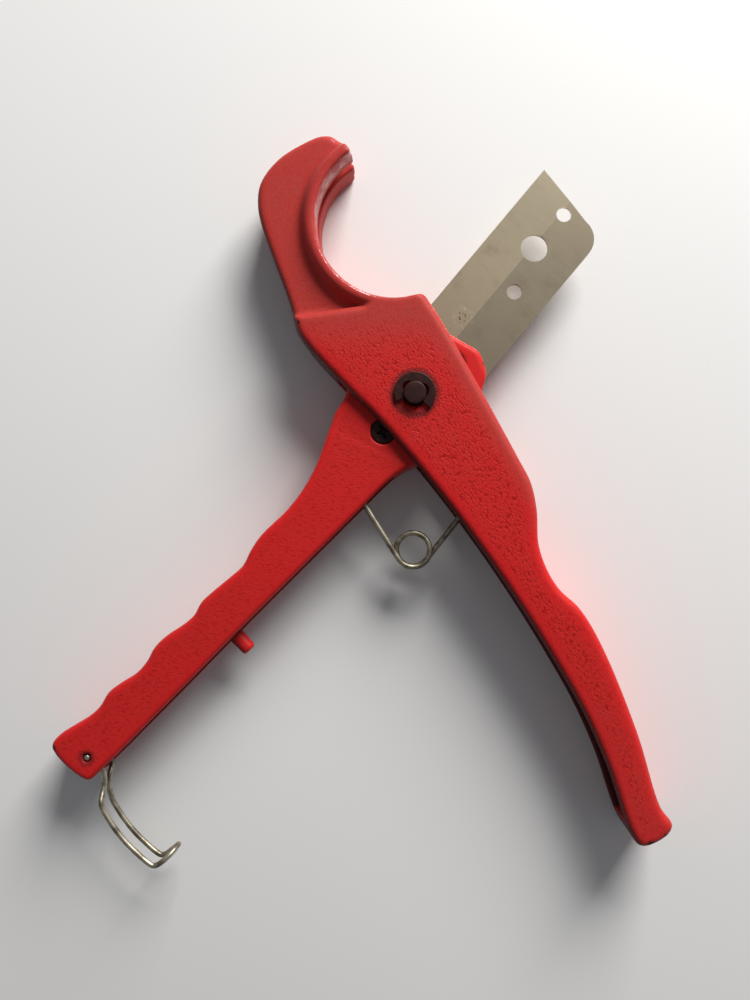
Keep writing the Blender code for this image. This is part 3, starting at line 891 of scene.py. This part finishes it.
@dataclass
class FrameCasting:
    """Frame casting: jaw with its rim, body cheeks round the head cavity, and the channelled fixed handle.

    Attributes, in millimetres:
        half: Half the casting's thickness.
        edge: Radius of its outer edges.
        web_half: Half the jaw web's thickness.
        jaw: Centre of the pipe's circle.
        jaw_radius: Radius of that circle.
        rim: Width of the rim's flat top.
        rim_lean: How far the rim's flank leans out for each millimetre down.
        cavity: Radius of the head cavity.
        cavity_half: Half the cavity's height.
        slot_half: Half the width of the blade's slot.
        slot_reach: Radius of the slot about the pivot.
        slot_floor: How far the slot's floor lies from the pivot.
        slot_open: Direction of the slot's side with the tool open, in degrees.
        slot_closed: Direction of the slot's floor, which is that of the blade's length with the tool closed.
        slot_heel: Points behind the pivot that close the slot's plan.
        head_seat: Radius of the seat for the pin's head.
        head_depth: Depth of that seat.
        low: Lowest corner of the lattice.
        high: Highest corner of the lattice.
        pitch: Steps of the lattice.
        body: Outline of the body and the fixed handle.
        web: Outline of the jaw.
        channel: Outline of what is hollow besides the head cavity.
    """

    half: float = 10.0
    edge: float = 2.1
    web_half: float = 6.5
    jaw: Pair = (-5.6, 46.4)
    jaw_radius: float = 20.9
    rim: float = 2.5
    rim_lean: float = 0.5
    cavity: float = 21.5
    cavity_half: float = 7.1
    slot_half: float = 1.65
    slot_reach: float = 72.8
    slot_floor: float = 13.8
    slot_open: float = 55.0
    slot_closed: float = 107.0
    slot_heel: tuple[Pair, Pair] = ((12.0, 0.0), (0.0, -8.0))
    head_seat: float = 5.3
    head_depth: float = 1.9
    low: Triple = (-44.0, -121.8, -1.2)
    high: Triple = (70.6, 71.8, 21.2)
    pitch: Triple = (0.6, 0.6, 0.5)
    body: tuple[OutlinePoint, ...] = (
        (-32.2, 20.8, CORNER), (-13.5, 23.6, CORNER), (-10.0, 30.0, CORNER), (0.9, 27.5, CORNER),
        (2.9, 25.9), (28.0, -18.0), (30.8, -23.5), (32.4, -31.0), (32.8, -39.5), (34.8, -45.9),
        (38.2, -51.6), (43.9, -57.1), (49.8, -67.1), (59.1, -90.0), (65.1, -109.5), (68.3, -114.4),
        (66.2, -117.6), (60.0, -119.9), (57.4, -117.0), (50.9, -98.6), (45.1, -85.5), (38.4, -73.4),
        (26.2, -53.8), (13.0, -34.9), (0.2, -18.5), (-10.8, -5.8), (-17.6, 0.9), (-28.4, 12.4),
        (-31.0, 16.3),
    )
    web: tuple[OutlinePoint, ...] = (
        (-31.4, 16.6, CORNER), (-34.0, 25.5), (-38.2, 36.8), (-41.3, 45.8), (-42.3, 51.0), (-41.6, 57.1),
        (-36.6, 63.7), (-27.9, 68.9), (-25.2, 69.8), (-22.2, 69.6), (-18.4, 66.1), (-17.0, 64.4, CORNER),
        (-12.0, 55.0, CORNER), (-5.6, 20.0, CORNER), (-20.0, 8.0, CORNER),
    )
    channel: tuple[OutlinePoint, ...] = (
        (12.0, 14.0, CORNER), (33.0, -6.0, CORNER), (26.0, -12.0, CORNER), (22.0, -13.6, CORNER),
        (25.2, -19.0), (28.0, -24.5), (29.3, -31.5), (29.6, -40.0), (31.7, -47.3), (35.8, -53.9),
        (41.4, -59.2), (46.9, -68.6), (56.1, -91.2), (61.0, -107.0), (62.4, -112.6, CORNER),
        (53.0, -116.0, CORNER), (40.0, -100.0, CORNER), (8.0, -44.0, CORNER), (-8.0, -20.0, CORNER),
    )

    def build(self, paint: HammerPaint) -> None:
        """Makes, dresses and places the casting.

        Args:
            paint: Its finish.
        """
        lattice = Lattice(self.low, self.high, self.pitch)
        points, faces = lattice.skin(self.distance(lattice))
        x, y = points[:, 0], points[:, 1]
        plans = [outline_distance(smooth_loop(outline, 6), x, y) for outline in (self.body, self.web)]
        from_jaw = np.hypot(x - self.jaw[0], y - self.jaw[1]) - self.jaw_radius
        edge = np.minimum(-np.minimum(*plans), from_jaw)
        casting = put_mesh("frame_casting", points, faces, edge=edge)
        # Marks where shade is painted: the flanks away from the light and the channel's hollow.
        channel = outline_distance(smooth_loop(self.channel, 6), x, y)
        mark_painted_shade(casting, edge, channel, self.cavity_half - np.abs(points[:, 2] - MIDDLE))
        spots = PaintSpots(
            wrinkle_turn=-57.0, border=4.4, depth=1.0,
            # Rubbed bands: wear, with a painted sheen in their colour.
            rubbed=(Band((0.0, 1.0, 0.0), 0.008, 0.022), Band((0.866, 0.5, 0.0), 0.009, 0.0145),
                    Band((0.0, -1.0, 0.0), 0.050, 0.200)),
            polished=(Ring((-0.0056, 0.0464, 0.020), 0.0212, 0.0003, 0.0009),
                      Ring((-0.0195, 0.0675, 0.0165), 0.0, 0.0015, 0.0035)),
            # Dark ring round the pin and its clip: dirt and painted shade.
            dirt_and_shade_rings=(Ring((0.0, 0.0, 0.020), 0.0057, 0.0002, 0.0016),),
            chips=(Ring((0.0622, -0.1187, 0.0192), 0.0, 0.0007, 0.0014),
                   Ring((0.0664, -0.1168, 0.0190), 0.0, 0.0005, 0.0012),
                   Ring((0.0590, -0.1190, 0.0190), 0.0, 0.0004, 0.0008),
                   Ring((-0.0307, 0.0188, 0.0195), 0.0, 0.0004, 0.0006),
                   Ring((-0.0188, 0.0645, 0.0185), 0.0, 0.0004, 0.0007)),
        )
        fit(casting, paint.material("frame_hammer_paint", spots), Body.FRAME, "jaw_frame")

    def distance(self, lattice: Lattice) -> Array:
        """Signed distance of the whole casting.

        The body's slab is joined to the rim, whose flank leans out downwards, and with a fillet to the jaw's
        thinner web. The pipe's circle, the head cavity with the handle's channel, the blade's slot, and the
        pin's bore and seat are then cut away.

        Args:
            lattice: Where to work it out.

        Returns:
            Distances in millimetres, negative inside.
        """
        x, y = lattice.plan()
        z = lattice.axes()[2]
        depth = self.half - np.abs(z - MIDDLE)
        web_plan = outline_distance(smooth_loop(self.web, 8), x, y)
        body_plan = outline_distance(smooth_loop(self.body, 6), x, y)
        from_jaw = np.hypot(x - self.jaw[0], y - self.jaw[1])
        rim_plan = np.maximum(from_jaw - self.jaw_radius - self.rim - self.rim_lean * depth, web_plan)
        web = slab(web_plan, z, self.web_half, 1.8)
        rim = slab(rim_plan, z, self.half, 1.0)
        body = slab(body_plan, z, self.half, self.edge)
        solid = melt(np.minimum(rim, body), web, 1.3)
        solid = carve(solid, from_jaw - self.jaw_radius, 1.0)
        from_pivot = np.hypot(x, y)
        cavity = np.minimum(from_pivot - self.cavity, outline_distance(smooth_loop(self.channel, 6), x, y))
        solid = carve(solid, slab(cavity, z, self.cavity_half, 0.8), 0.7)
        solid = carve(solid, slab(self._slot(x, y), z, self.slot_half, 0.3), 0.5)
        flare = 1.2 * np.maximum(z - (MIDDLE + self.half - 0.8), 0.0)
        solid = np.maximum(solid, PIN_BORE + flare - from_pivot)
        return np.maximum(solid, -np.maximum(from_pivot - self.head_seat, z - self.head_depth))

    def _slot(self, x: Array, y: Array) -> Array:
        """Distance to the blade's slot: a sector about the pivot, up to a line past the closed blade's edge.

        Args:
            x: Places to measure from.
            y: The same places' second coordinate.

        Returns:
            Distances in millimetres, negative inside.
        """
        reach = math.degrees(math.asin(self.slot_floor / self.slot_reach))
        side = self.slot_closed + 90.0
        arc = arc_points(self.slot_reach, self.slot_closed + reach, self.slot_open, 60)
        floor_start = arc_points(self.slot_floor, side, side, 1)
        return outline_distance(np.vstack([arc, self.slot_heel, floor_start]), x, y)


@dataclass
class HandleCasting:
    """Blade handle casting: wavy grip with a channel, smooth slotted head, screw seats and a stop post.

    Attributes, in millimetres:
        half: Half the casting's thickness.
        edge: Radius of its outer edges.
        step: How much the head's faces lie below the grip's.
        step_at: A place on the line between them.
        step_side: Direction across that line, towards the head.
        channel_half: Half the channel's height.
        head: Radius of the head.
        pocket_half: Half the height of the blade's pocket.
        pocket_end: Near end of the pocket, along the blade.
        pocket_back: Back of the pocket, across the blade.
        pocket_front: Front of the pocket, across the blade.
        pocket_corner: Radius of the pocket's near corners.
        screw_seat: Radius of a blade screw's seat.
        screw_hole: Radius of its hole.
        seat_floor: Height of the seats' floor.
        bail_hole: Radius of the hole for the bail's ends.
        post_root: Where the stop post's axis starts.
        post_tip: Where it ends.
        post_radius: Radius of the post at its root and at its tip.
        low: Lowest corner of the lattice.
        high: Highest corner of the lattice.
        pitch: Steps of the lattice.
        outer: The grip's outer side with its finger waves, from the head.
        end: The grip's end.
        inner: The grip's inner side, back to the head.
        lobe: The head's lobe beside the blade.
        channel: Outline of what is hollow.
    """

    half: float = 6.8
    edge: float = 1.5
    step: float = 0.12
    step_at: Pair = (-5.0, -17.5)
    step_side: Pair = (0.42, 0.9)
    channel_half: float = 4.9
    head: float = 18.5
    pocket_half: float = 1.05
    pocket_end: float = -16.4
    pocket_back: float = -11.4
    pocket_front: float = 13.6
    pocket_corner: float = 4.0
    screw_seat: float = 3.42
    screw_hole: float = 2.2
    seat_floor: float = 13.95
    bail_hole: float = 1.2
    post_root: Pair = (-57.0, -56.9)
    post_tip: Pair = (-45.3, -69.1)
    post_radius: Pair = (2.5, 1.95)
    low: Triple = (-99.0, -104.6, 2.2)
    high: Triple = (21.0, 20.4, 17.8)
    pitch: Triple = (0.5, 0.5, 0.45)
    outer: tuple[OutlinePoint, ...] = (
        (-21.6, -4.8, CORNER), (-24.0, -11.6), (-26.4, -18.2), (-30.1, -25.1), (-34.6, -30.9), (-41.2, -37.3),
        (-44.1, -41.5), (-46.2, -45.6), (-49.4, -48.5), (-54.7, -52.9), (-57.4, -55.5), (-59.3, -58.9),
        (-62.0, -61.3), (-66.8, -64.5), (-70.0, -67.7), (-71.9, -71.2), (-74.6, -74.3), (-78.8, -77.0),
        (-82.2, -79.6), (-84.5, -83.3), (-87.4, -86.0), (-95.6, -91.2),
    )
    end: tuple[OutlinePoint, ...] = (
        (-97.4, -93.9), (-95.6, -97.3), (-89.9, -102.3), (-87.4, -103.2), (-85.0, -101.3),
    )
    inner: tuple[OutlinePoint, ...] = (
        (-46.2, -62.1), (-25.7, -41.6), (-14.6, -30.5), (-8.6, -24.4), (-3.9, -20.6),
    )
    lobe: tuple[OutlinePoint, ...] = (
        (18.0, 1.0), (19.1, 5.2), (18.4, 9.0), (16.9, 12.0), (13.6, 14.0), (9.0, 16.6),
    )
    channel: tuple[OutlinePoint, ...] = (
        (-22.6, -13.4), (-24.8, -19.3), (-28.5, -26.2), (-33.2, -32.3), (-39.7, -38.6), (-42.4, -42.4),
        (-44.7, -46.9), (-48.1, -50.0), (-53.4, -54.3), (-55.8, -56.8), (-57.8, -60.2), (-60.8, -62.8),
        (-65.6, -66.0), (-68.4, -68.8), (-70.3, -72.3), (-73.4, -75.8), (-77.7, -78.6), (-80.8, -81.0),
        (-83.0, -84.5), (-86.3, -87.6), (-93.6, -92.2), (-94.2, -94.8), (-88.3, -100.4, CORNER),
        (-88.0, -106.0, CORNER), (-60.0, -88.0, CORNER), (-2.5, -27.0, CORNER), (-2.5, -23.5, CORNER),
    )

    def build(self, paint: HammerPaint) -> None:
        """Makes, dresses and places the casting.

        Args:
            paint: Its finish.
        """
        lattice = Lattice(self.low, self.high, self.pitch)
        points, faces = lattice.skin(self.distance(lattice))
        edge = -outline_distance(self.plan(), points[:, 0], points[:, 1])
        casting = put_mesh("handle_casting", points, faces, edge=edge)
        # Marks where shade is painted: the flanks away from the light and the channel's hollow.
        channel = outline_distance(smooth_loop(self.channel, 5), points[:, 0], points[:, 1])
        mark_painted_shade(casting, edge, channel, self.channel_half - np.abs(points[:, 2] - MIDDLE))
        bail_end = (MM * BAIL_HINGE[0], MM * BAIL_HINGE[1], 0.0168)
        spots = PaintSpots(
            wrinkle_turn=-12.0, border=2.6, depth=0.45,
            smooth=(Ring((0.002, 0.002, 0.010), 0.0, 0.0195, 0.0225),),
            # Dark rings round the bail's hinge hole and the upper screw's seat: painted shade in these
            # hollows, with some dirt.
            dirt_and_shade_rings=(Ring(bail_end, 0.0013, 0.0002, 0.0016),
                    Ring((0.0096, 0.0082, 0.0167), 0.0037, 0.0003, 0.0010)),
            # The first three spots, on the rim of the grip's end that faces away from the light, are chips
            # with painted shade.
            chips=(Ring((-0.0968, -0.0945, 0.0160), 0.0, 0.0007, 0.0013),
                   Ring((-0.0958, -0.0966, 0.0160), 0.0, 0.0006, 0.0011),
                   Ring((-0.0935, -0.0990, 0.0160), 0.0, 0.0004, 0.0008),
                   Ring((0.0185, 0.0085, 0.016), 0.0, 0.0003, 0.0005)),
        )
        fit(casting, paint.material("handle_hammer_paint", spots), Body.HANDLE, "blade_handle")

    def plan(self) -> Array:
        """Outline of the casting: the grip's two sides and its end, then the round head with its lobe.

        Returns:
            The outline's points.
        """
        under = arc_points(self.head, 272.0, 352.0, 8)
        over = arc_points(self.head, 70.0, 178.0, 12)
        points = [*self.outer, *self.end, *self.inner, *map(tuple, under), *self.lobe, *map(tuple, over)]
        return smooth_loop(points, 5)

    def distance(self, lattice: Lattice) -> Array:
        """Signed distance of the whole casting.

        The slab is a little thinner on the head's side of the line where the grip starts. The grip's channel
        is cut away and the post joined on, and then the blade's pocket and the bores are cut.

        Args:
            lattice: Where to work it out.

        Returns:
            Distances in millimetres, negative inside.
        """
        x, y = lattice.plan()
        z = lattice.axes()[2]
        towards_head = self.step_side[0] * (x - self.step_at[0]) + self.step_side[1] * (y - self.step_at[1])
        half = self.half - self.step * ease(towards_head, -0.6, 0.6)
        solid = slab(outline_distance(self.plan(), x, y), z, half, self.edge)
        channel = outline_distance(smooth_loop(self.channel, 5), x, y)
        solid = carve(solid, slab(channel, z, self.channel_half, 0.7), 0.6)
        solid = melt(solid, self._post(x, y, z), 1.0)
        solid = np.maximum(solid, -slab(self._pocket(x, y), z, self.pocket_half, 0.1))
        solid = np.maximum(solid, PIN_BORE - np.hypot(x, y))
        solid = np.maximum(solid, self.bail_hole - np.hypot(x - BAIL_HINGE[0], y - BAIL_HINGE[1]))
        for place in SCREWS.values():
            cx, cy = blade_to_tool(*place)
            from_screw = np.hypot(x - cx, y - cy)
            seat = np.maximum(from_screw - self.screw_seat, self.seat_floor - z)
            solid = carve(solid, np.minimum(seat, from_screw - self.screw_hole), 0.35)
        return solid

    def _post(self, x: Array, y: Array, z: Array) -> Array:
        """Distance to the stop post: a round cone between its two ends, with a softened tip.

        Args:
            x: Places to measure from.
            y: The same places' second coordinate.
            z: Their heights.

        Returns:
            Distances in millimetres, negative inside.
        """
        root, tip = np.array(self.post_root), np.array(self.post_tip)
        length = float(np.linalg.norm(tip - root))
        heading = (tip - root) / length
        along = (x - root[0]) * heading[0] + (y - root[1]) * heading[1]
        aside = (x - root[0]) * heading[1] - (y - root[1]) * heading[0]
        thick, thin = self.post_radius
        radius = thick + (thin - thick) * np.clip(along / length, 0, 1)
        return carve(np.hypot(aside, z - MIDDLE) - radius, -np.maximum(along - length, -along), 0.7)

    def _pocket(self, x: Array, y: Array) -> Array:
        """Distance to the blade's pocket: a strip along the blade that ends round-cornered behind the pin.

        Args:
            x: Places to measure from.
            y: The same places' second coordinate.

        Returns:
            Distances in millimetres, negative inside.
        """
        turn = math.radians(BLADE_TURN)
        along = x * math.cos(turn) + y * math.sin(turn)
        across = -x * math.sin(turn) + y * math.cos(turn)
        aside = np.maximum(across - self.pocket_front, self.pocket_back - across)
        return rounded(self.pocket_end - along, aside, self.pocket_corner)


@dataclass
class Blade:
    """The blade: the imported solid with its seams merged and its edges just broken, so that they catch light.

    Attributes:
        broken_edge: Width of the broken edges, in millimetres.
    """

    broken_edge: float = 0.05

    def build(self, steel: GroundSteel) -> None:
        """Makes, dresses and places the blade.

        Args:
            steel: Its finish.
        """
        bm = bmesh.new()
        bm.from_mesh(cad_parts["blade"].data)
        bmesh.ops.remove_doubles(bm, verts=bm.verts, dist=1e-6)
        bmesh.ops.dissolve_limit(bm, angle_limit=math.radians(0.4), verts=bm.verts, edges=bm.edges)
        mesh = bpy.data.meshes.new("ground_blade")
        bm.to_mesh(mesh)
        bm.free()
        blade = bpy.data.objects.new("ground_blade", mesh)
        bpy.context.scene.collection.objects.link(blade)
        bevel = blade.modifiers.new("broken_edges", "BEVEL")
        bevel.width = self.broken_edge * MM
        bevel.segments = 2
        bevel.limit_method = "ANGLE"
        bevel.angle_limit = math.radians(40)
        fit(blade, steel.material("ground_steel"), Body.HANDLE, "blade")


@dataclass
class Fittings:
    """Pivot pin, E-clip and the two blade screws.

    Attributes, in millimetres:
        pin: Radius of the pin.
        pin_top: Height of its front end.
        pin_head: Radius of its head.
        pin_head_top: Thickness of its head.
        groove: Radius of its clip groove.
        clip: Outer radius of the clip.
        clip_low: Height of the clip's underside.
        clip_half: Half the clip's thickness.
        clip_back: Direction of the clip's closed side, in degrees.
        clip_sweep: Half the angle that the clip covers, in degrees.
        screw_head: Radius of a screw's head.
        screw_top: Height of its top.
        screw_under: Height of its underside.
        screw_shank: Radius of its shank.
        screw_tip: Height of its end.
        recess: (half length, half width, depth) of a cross arm.
        recess_turn: Turn of the cross, in degrees.
    """

    pin: float = 3.0
    pin_top: float = 22.0
    pin_head: float = 5.0
    pin_head_top: float = 1.6
    groove: float = 2.5
    clip: float = 5.5
    clip_low: float = 20.35
    clip_half: float = 0.35
    clip_back: float = 79.0
    clip_sweep: float = 126.0
    screw_head: float = 3.3
    screw_top: float = 16.5
    screw_under: float = 14.4
    screw_shank: float = 2.0
    screw_tip: float = 3.7
    recess: Triple = (1.9, 0.36, 1.1)
    recess_turn: float = 20.0

    def build(self, black: BlackOxide) -> None:
        """Makes, dresses and places the four fittings.

        Args:
            black: Their finish.
        """
        finish = black.material("black_oxide")
        pin = put_mesh("pivot_pin_turned", *self._pin(), sharp=28.0)
        fit(pin, finish, Body.FRAME, "pivot_pin")
        clip = put_mesh("retaining_clip", *self._clip())
        fit(clip, finish, Body.FRAME, "e_clip")
        for node, place in SCREWS.items():
            screw = put_mesh(node.replace("blade_", "recessed_"), *self._screw(*blade_to_tool(*place)))
            fit(screw, finish, Body.HANDLE, node)

    def _pin(self) -> tuple[Array, Faces]:
        """Pin: domed front end, clip groove, shaft and flat head, as one turned profile.

        Returns:
            Points and faces.
        """
        dome = [(self.pin - 0.35 + 0.35 * math.sin(a), self.pin_top - 0.35 + 0.35 * math.cos(a))
                for a in np.linspace(0, math.pi / 2, 5)]
        low, high = self.clip_low - 0.15, self.clip_low + 2 * self.clip_half + 0.15
        profile = [
            (0.6, self.pin_top), (1.6, self.pin_top), *dome, (self.pin, high), (self.groove, high - 0.02),
            (self.groove, low + 0.02), (self.pin, low), (self.pin, self.pin_head_top),
            (self.pin_head - 0.15, self.pin_head_top), (self.pin_head, self.pin_head_top - 0.15),
            (self.pin_head, 0.12), (self.pin_head - 0.12, 0.0), (1.0, 0.0),
        ]
        return turned(profile, 72)

    def _clip(self) -> tuple[Array, Faces]:
        """Clip: a ring, open below, whose inner radius is a cosine that waves three times in a full turn.

        Returns:
            Points and faces.
        """
        lattice = Lattice((-6.0, -6.0, 20.0), (6.0, 6.0, 21.4), (0.12, 0.12, 0.1))
        x, y = lattice.plan()
        angles = np.linspace(self.clip_back - self.clip_sweep, self.clip_back + self.clip_sweep, 97)
        outer = arc_points(self.clip, angles[0], angles[-1], 97)
        lobes = self.groove + 0.7 - 0.6 * np.cos(3 * np.radians(angles - self.clip_back))
        inner = lobes[:, None] * arc_points(1.0, angles[0], angles[-1], 97)
        plan = outline_distance(np.vstack([outer, inner[::-1]]), x, y)
        middle = self.clip_low + self.clip_half
        return lattice.skin(slab(plan, lattice.axes()[2], self.clip_half, 0.14, middle))

    def _screw(self, cx: float, cy: float) -> tuple[Array, Faces]:
        """Screw: a rounded head on a shank, with two crossed arms sunk in its top, which narrow downwards.

        Args:
            cx: Where its axis stands.
            cy: The axis's second coordinate.

        Returns:
            Points and faces.
        """
        lattice = Lattice((cx - 3.7, cy - 3.7, 3.4), (cx + 3.7, cy + 3.7, 16.8), (0.15, 0.15, 0.14))
        x, y = lattice.plan()
        z = lattice.axes()[2]
        from_axis = np.hypot(x - cx, y - cy)
        head_half = (self.screw_top - self.screw_under) / 2
        shank_half = (self.screw_under + 0.5 - self.screw_tip) / 2
        head = slab(from_axis - self.screw_head, z, head_half, 0.5, self.screw_top - head_half)
        shank = slab(from_axis - self.screw_shank, z, shank_half, 0.3, self.screw_tip + shank_half)
        turn = math.radians(self.recess_turn)
        one = np.abs((x - cx) * math.cos(turn) + (y - cy) * math.sin(turn))
        two = np.abs((y - cy) * math.cos(turn) - (x - cx) * math.sin(turn))
        length, width, depth = self.recess
        sunk = self.screw_top - z
        long_way, short_way = length - 0.5 * sunk, width - 0.08 * sunk
        arms = [np.maximum(a - long_way, b - short_way) for a, b in ((one, two), (two, one))]
        return lattice.skin(carve(np.minimum(head, shank), np.maximum(np.minimum(*arms), sunk - depth), 0.15))


@dataclass
class Spring:
    """Torsion spring of one wire, in two pieces that turn past each other at mid coil as it winds.

    Attributes, in millimetres:
        radius: The wire's radius.
        centre: The coil's centre.
        coil: The coil's radius to the wire's middle.
        start: Direction in which the handle's leg leaves the coil, in degrees.
        turns: Length of the coil, in turns.
        pitch: Height of one turn.
        handle_tip: Far end of the handle's leg.
        frame_tip: Far end of the frame's leg.
        hidden: Share of a turn that the handle's piece runs on inside the frame's.
    """

    radius: float = 0.78
    centre: Pair = (-0.55, -41.6)
    coil: float = 4.62
    start: float = 212.0
    turns: float = 2.305
    pitch: float = 1.9
    handle_tip: Pair = (-22.0, -16.0)
    frame_tip: Pair = (23.2, -18.9)
    hidden: float = 0.14

    def build(self, wire: bpy.types.Material) -> None:
        """Makes, dresses and places both pieces.

        Args:
            wire: Their finished material, which the bail shares.
        """
        parting = self.turns / 2
        handle_path = self._path(0.0, parting + self.hidden, self.handle_tip, None)
        frame_path = self._path(parting, self.turns, None, self.frame_tip)
        up = (0.0, 0.0, 1.0)
        handle_wire = put_mesh("spring_wire_handle", *tube(handle_path, self.radius - 0.02, up), sharp=60.0)
        fit(handle_wire, wire, Body.SPRING_HANDLE, "spring_handle_leg")
        frame_wire = put_mesh("spring_wire_frame", *tube(frame_path, self.radius, up), sharp=60.0)
        fit(frame_wire, wire, Body.SPRING_FRAME, "spring_frame_leg")

    def _path(self, first: float, last: float, before: Pair | None, after: Pair | None) -> Array:
        """Stretch of the coil, a helix that sinks by its pitch each turn, with a leg before or after it.

        Args:
            first: Turn count where it starts.
            last: Turn count where it ends.
            before: Far end of the leg that comes first, if there is one.
            after: Far end of the leg that comes last, if there is one.

        Returns:
            The wire's centre line.
        """
        turns = np.linspace(first, last, math.ceil((last - first) * 72) + 1)
        angles = math.radians(self.start) + 2 * np.pi * turns
        height = MIDDLE + (self.turns / 2 - turns) * self.pitch
        x, y = self.centre[0] + self.coil * np.cos(angles), self.centre[1] + self.coil * np.sin(angles)
        path = np.column_stack([x, y, height])
        if before:
            path = np.vstack([self._leg(before, path[0]), path])
        if after:
            path = np.vstack([path, self._leg(after, path[-1])[::-1]])
        return path

    @staticmethod
    def _leg(tip: Pair, coil_end: Array) -> Array:
        """Points of a straight leg from its tip to just short of the coil."""
        share = np.linspace(0, 1, 30, endpoint=False)[:, None]
        return (1 - share) * np.array([*tip, coil_end[2]]) + share * coil_end


@dataclass
class Bail:
    """Latch bail: a wire loop whose two ends turn in the end of the blade handle, with a hooked far end.

    Attributes, in millimetres:
        radius: The wire's radius.
        half_width: Half the loop's width at its widest.
        end_out: How far from the middle plane the two ends reach.
        far_end: Where the loop crosses the middle plane.
        leg: (x, y, share of the half width) of the points that each leg passes through.
    """

    radius: float = 0.75
    half_width: float = 3.8
    end_out: float = 6.6
    far_end: Pair = (-65.3, -122.8)
    leg: tuple[Triple, ...] = (
        (-86.1, -99.0, 1.0), (-84.6, -101.2, 0.95), (-84.6, -103.4, 0.6),
        (-84.8, -105.3, 0.45), (-85.0, -107.3, 0.6), (-85.0, -109.6, 0.95), (-84.4, -111.8, 1.0),
        (-83.0, -114.2, 1.0), (-80.9, -117.3, 1.0), (-78.4, -120.4, 1.0), (-75.3, -123.5, 1.0),
        (-72.3, -126.1, 1.0), (-70.9, -126.9, 1.0), (-69.7, -126.7, 1.0), (-67.4, -125.0, 0.95),
        (-65.8, -123.5, 0.6),
    )

    def build(self, wire: bpy.types.Material) -> None:
        """Makes, dresses and places the bail.

        The wire runs from one end of the hinge down a leg to the far end, and back as its mirror image.

        Args:
            wire: Its finished material, which the spring shares.
        """
        out = self.half_width
        leg = [(x, y, MIDDLE + share * out) for x, y, share in self.leg]
        heights = (self.end_out, 0.6 * self.end_out + 0.4 * out, out + 0.5)
        shaft = [(*BAIL_HINGE, MIDDLE + height) for height in heights]
        front = [*shaft, *leg, (*self.far_end, MIDDLE)]
        rear = [(x, y, 2 * MIDDLE - z) for x, y, z in front[-2::-1]]
        path = smooth_run(np.array(front + rear), 6)
        bail = put_mesh("bail_wire", *tube(path, self.radius, (0.42, 0.906, 0.0)), sharp=60.0)
        fit(bail, wire, Body.LATCH, "latch_bail")


# ---------------------------------------------------------------------------------------------- studio


@dataclass(frozen=True)
class Studio:
    """Pale table top, one soft light above it, dim daylight all round, and a camera that looks straight down.

    Attributes:
        camera: Place of the camera, in metres.
        lens: Its focal length, in millimetres.
        shift: Its sideways and upward shift.
        floor_size: Side of the floor, in metres.
        floor_drop: How far the floor lies under the tool, in millimetres.
        floor_tints: Two colours that the floor changes between.
        light: Place of the light, in metres.
        light_target: The place that it faces.
        light_size: Its side, in metres.
        light_power: Its power, in watts.
        light_colour: Its colour.
        sky_colour: Colour of the daylight.
        sky_strength: Strength of the daylight.
    """

    camera: Place = (0.0, -0.0334, 0.245)
    lens: float = 30.76
    shift: Pair = (-0.04, 0.02)
    floor_size: float = 3.0
    floor_drop: float = 0.05
    floor_tints: tuple[Colour, Colour] = ((0.84, 0.835, 0.825), (0.87, 0.865, 0.855))
    light: Place = (0.34, 0.74, 0.46)
    light_target: Place = (0.0, -0.03, 0.0)
    light_size: float = 0.5
    light_power: float = 14.0
    light_colour: Colour = (1.0, 0.985, 0.96)
    sky_colour: Colour = (0.92, 0.94, 1.0)
    sky_strength: float = 0.17

    def build(self) -> None:
        """Sets up the floor, the light, the daylight, the camera and the view."""
        self._floor()
        self._light()
        world = bpy.data.worlds.new("studio")
        world.use_nodes = True
        world.node_tree.nodes["Background"].inputs["Color"].default_value = (*self.sky_colour, 1.0)
        world.node_tree.nodes["Background"].inputs["Strength"].default_value = self.sky_strength
        bpy.context.scene.world = world
        data = bpy.data.cameras.new("camera")
        data.lens = self.lens
        data.sensor_width = 36.0
        data.shift_x, data.shift_y = self.shift
        data.clip_start = 0.01
        camera = bpy.data.objects.new("camera", data)
        camera.location = self.camera
        bpy.context.scene.collection.objects.link(camera)
        bpy.context.scene.camera = camera
        bpy.context.scene.view_settings.view_transform = "Standard"

    def _floor(self) -> None:
        """Lays the table top just under the tool."""
        half = self.floor_size / MM / 2
        square = np.array([(-half, -half), (half, -half), (half, half), (-half, half)])
        corners = np.column_stack([square, np.full(4, -self.floor_drop)])
        floor = put_mesh("floor", corners, [np.array([[0, 1, 2, 3]])])
        graph = Graph("table_top")
        cloud = graph.noise(graph.place(), 6.0, 2.0, 0.5)
        floor.data.materials.append(graph.finish({
            "Base Color": graph.mix(*self.floor_tints, cloud),
            "Roughness": 0.6 + 0.1 * cloud,
        }))

    def _light(self) -> None:
        """Hangs a square area light that faces its target."""
        data = bpy.data.lights.new("key_light", "AREA")
        data.shape = "SQUARE"
        data.size = self.light_size
        data.energy = self.light_power
        data.color = self.light_colour
        light = bpy.data.objects.new("key_light", data)
        light.location = self.light
        heading = Vector(self.light_target) - Vector(self.light)
        light.rotation_euler = heading.to_track_quat("-Z", "Y").to_euler()
        bpy.context.scene.collection.objects.link(light)


def main() -> None:
    """Builds every piece and the studio."""
    logging.basicConfig(level=logging.INFO, format="%(name)s: %(message)s")
    paint = HammerPaint()
    FrameCasting().build(paint)
    HandleCasting().build(paint)
    Blade().build(GroundSteel())
    Fittings().build(BlackOxide())
    wire = PlatedWire().material("plated_wire")
    Spring().build(wire)
    Bail().build(wire)
    Studio().build()


if __name__ == "__main__":
    main()
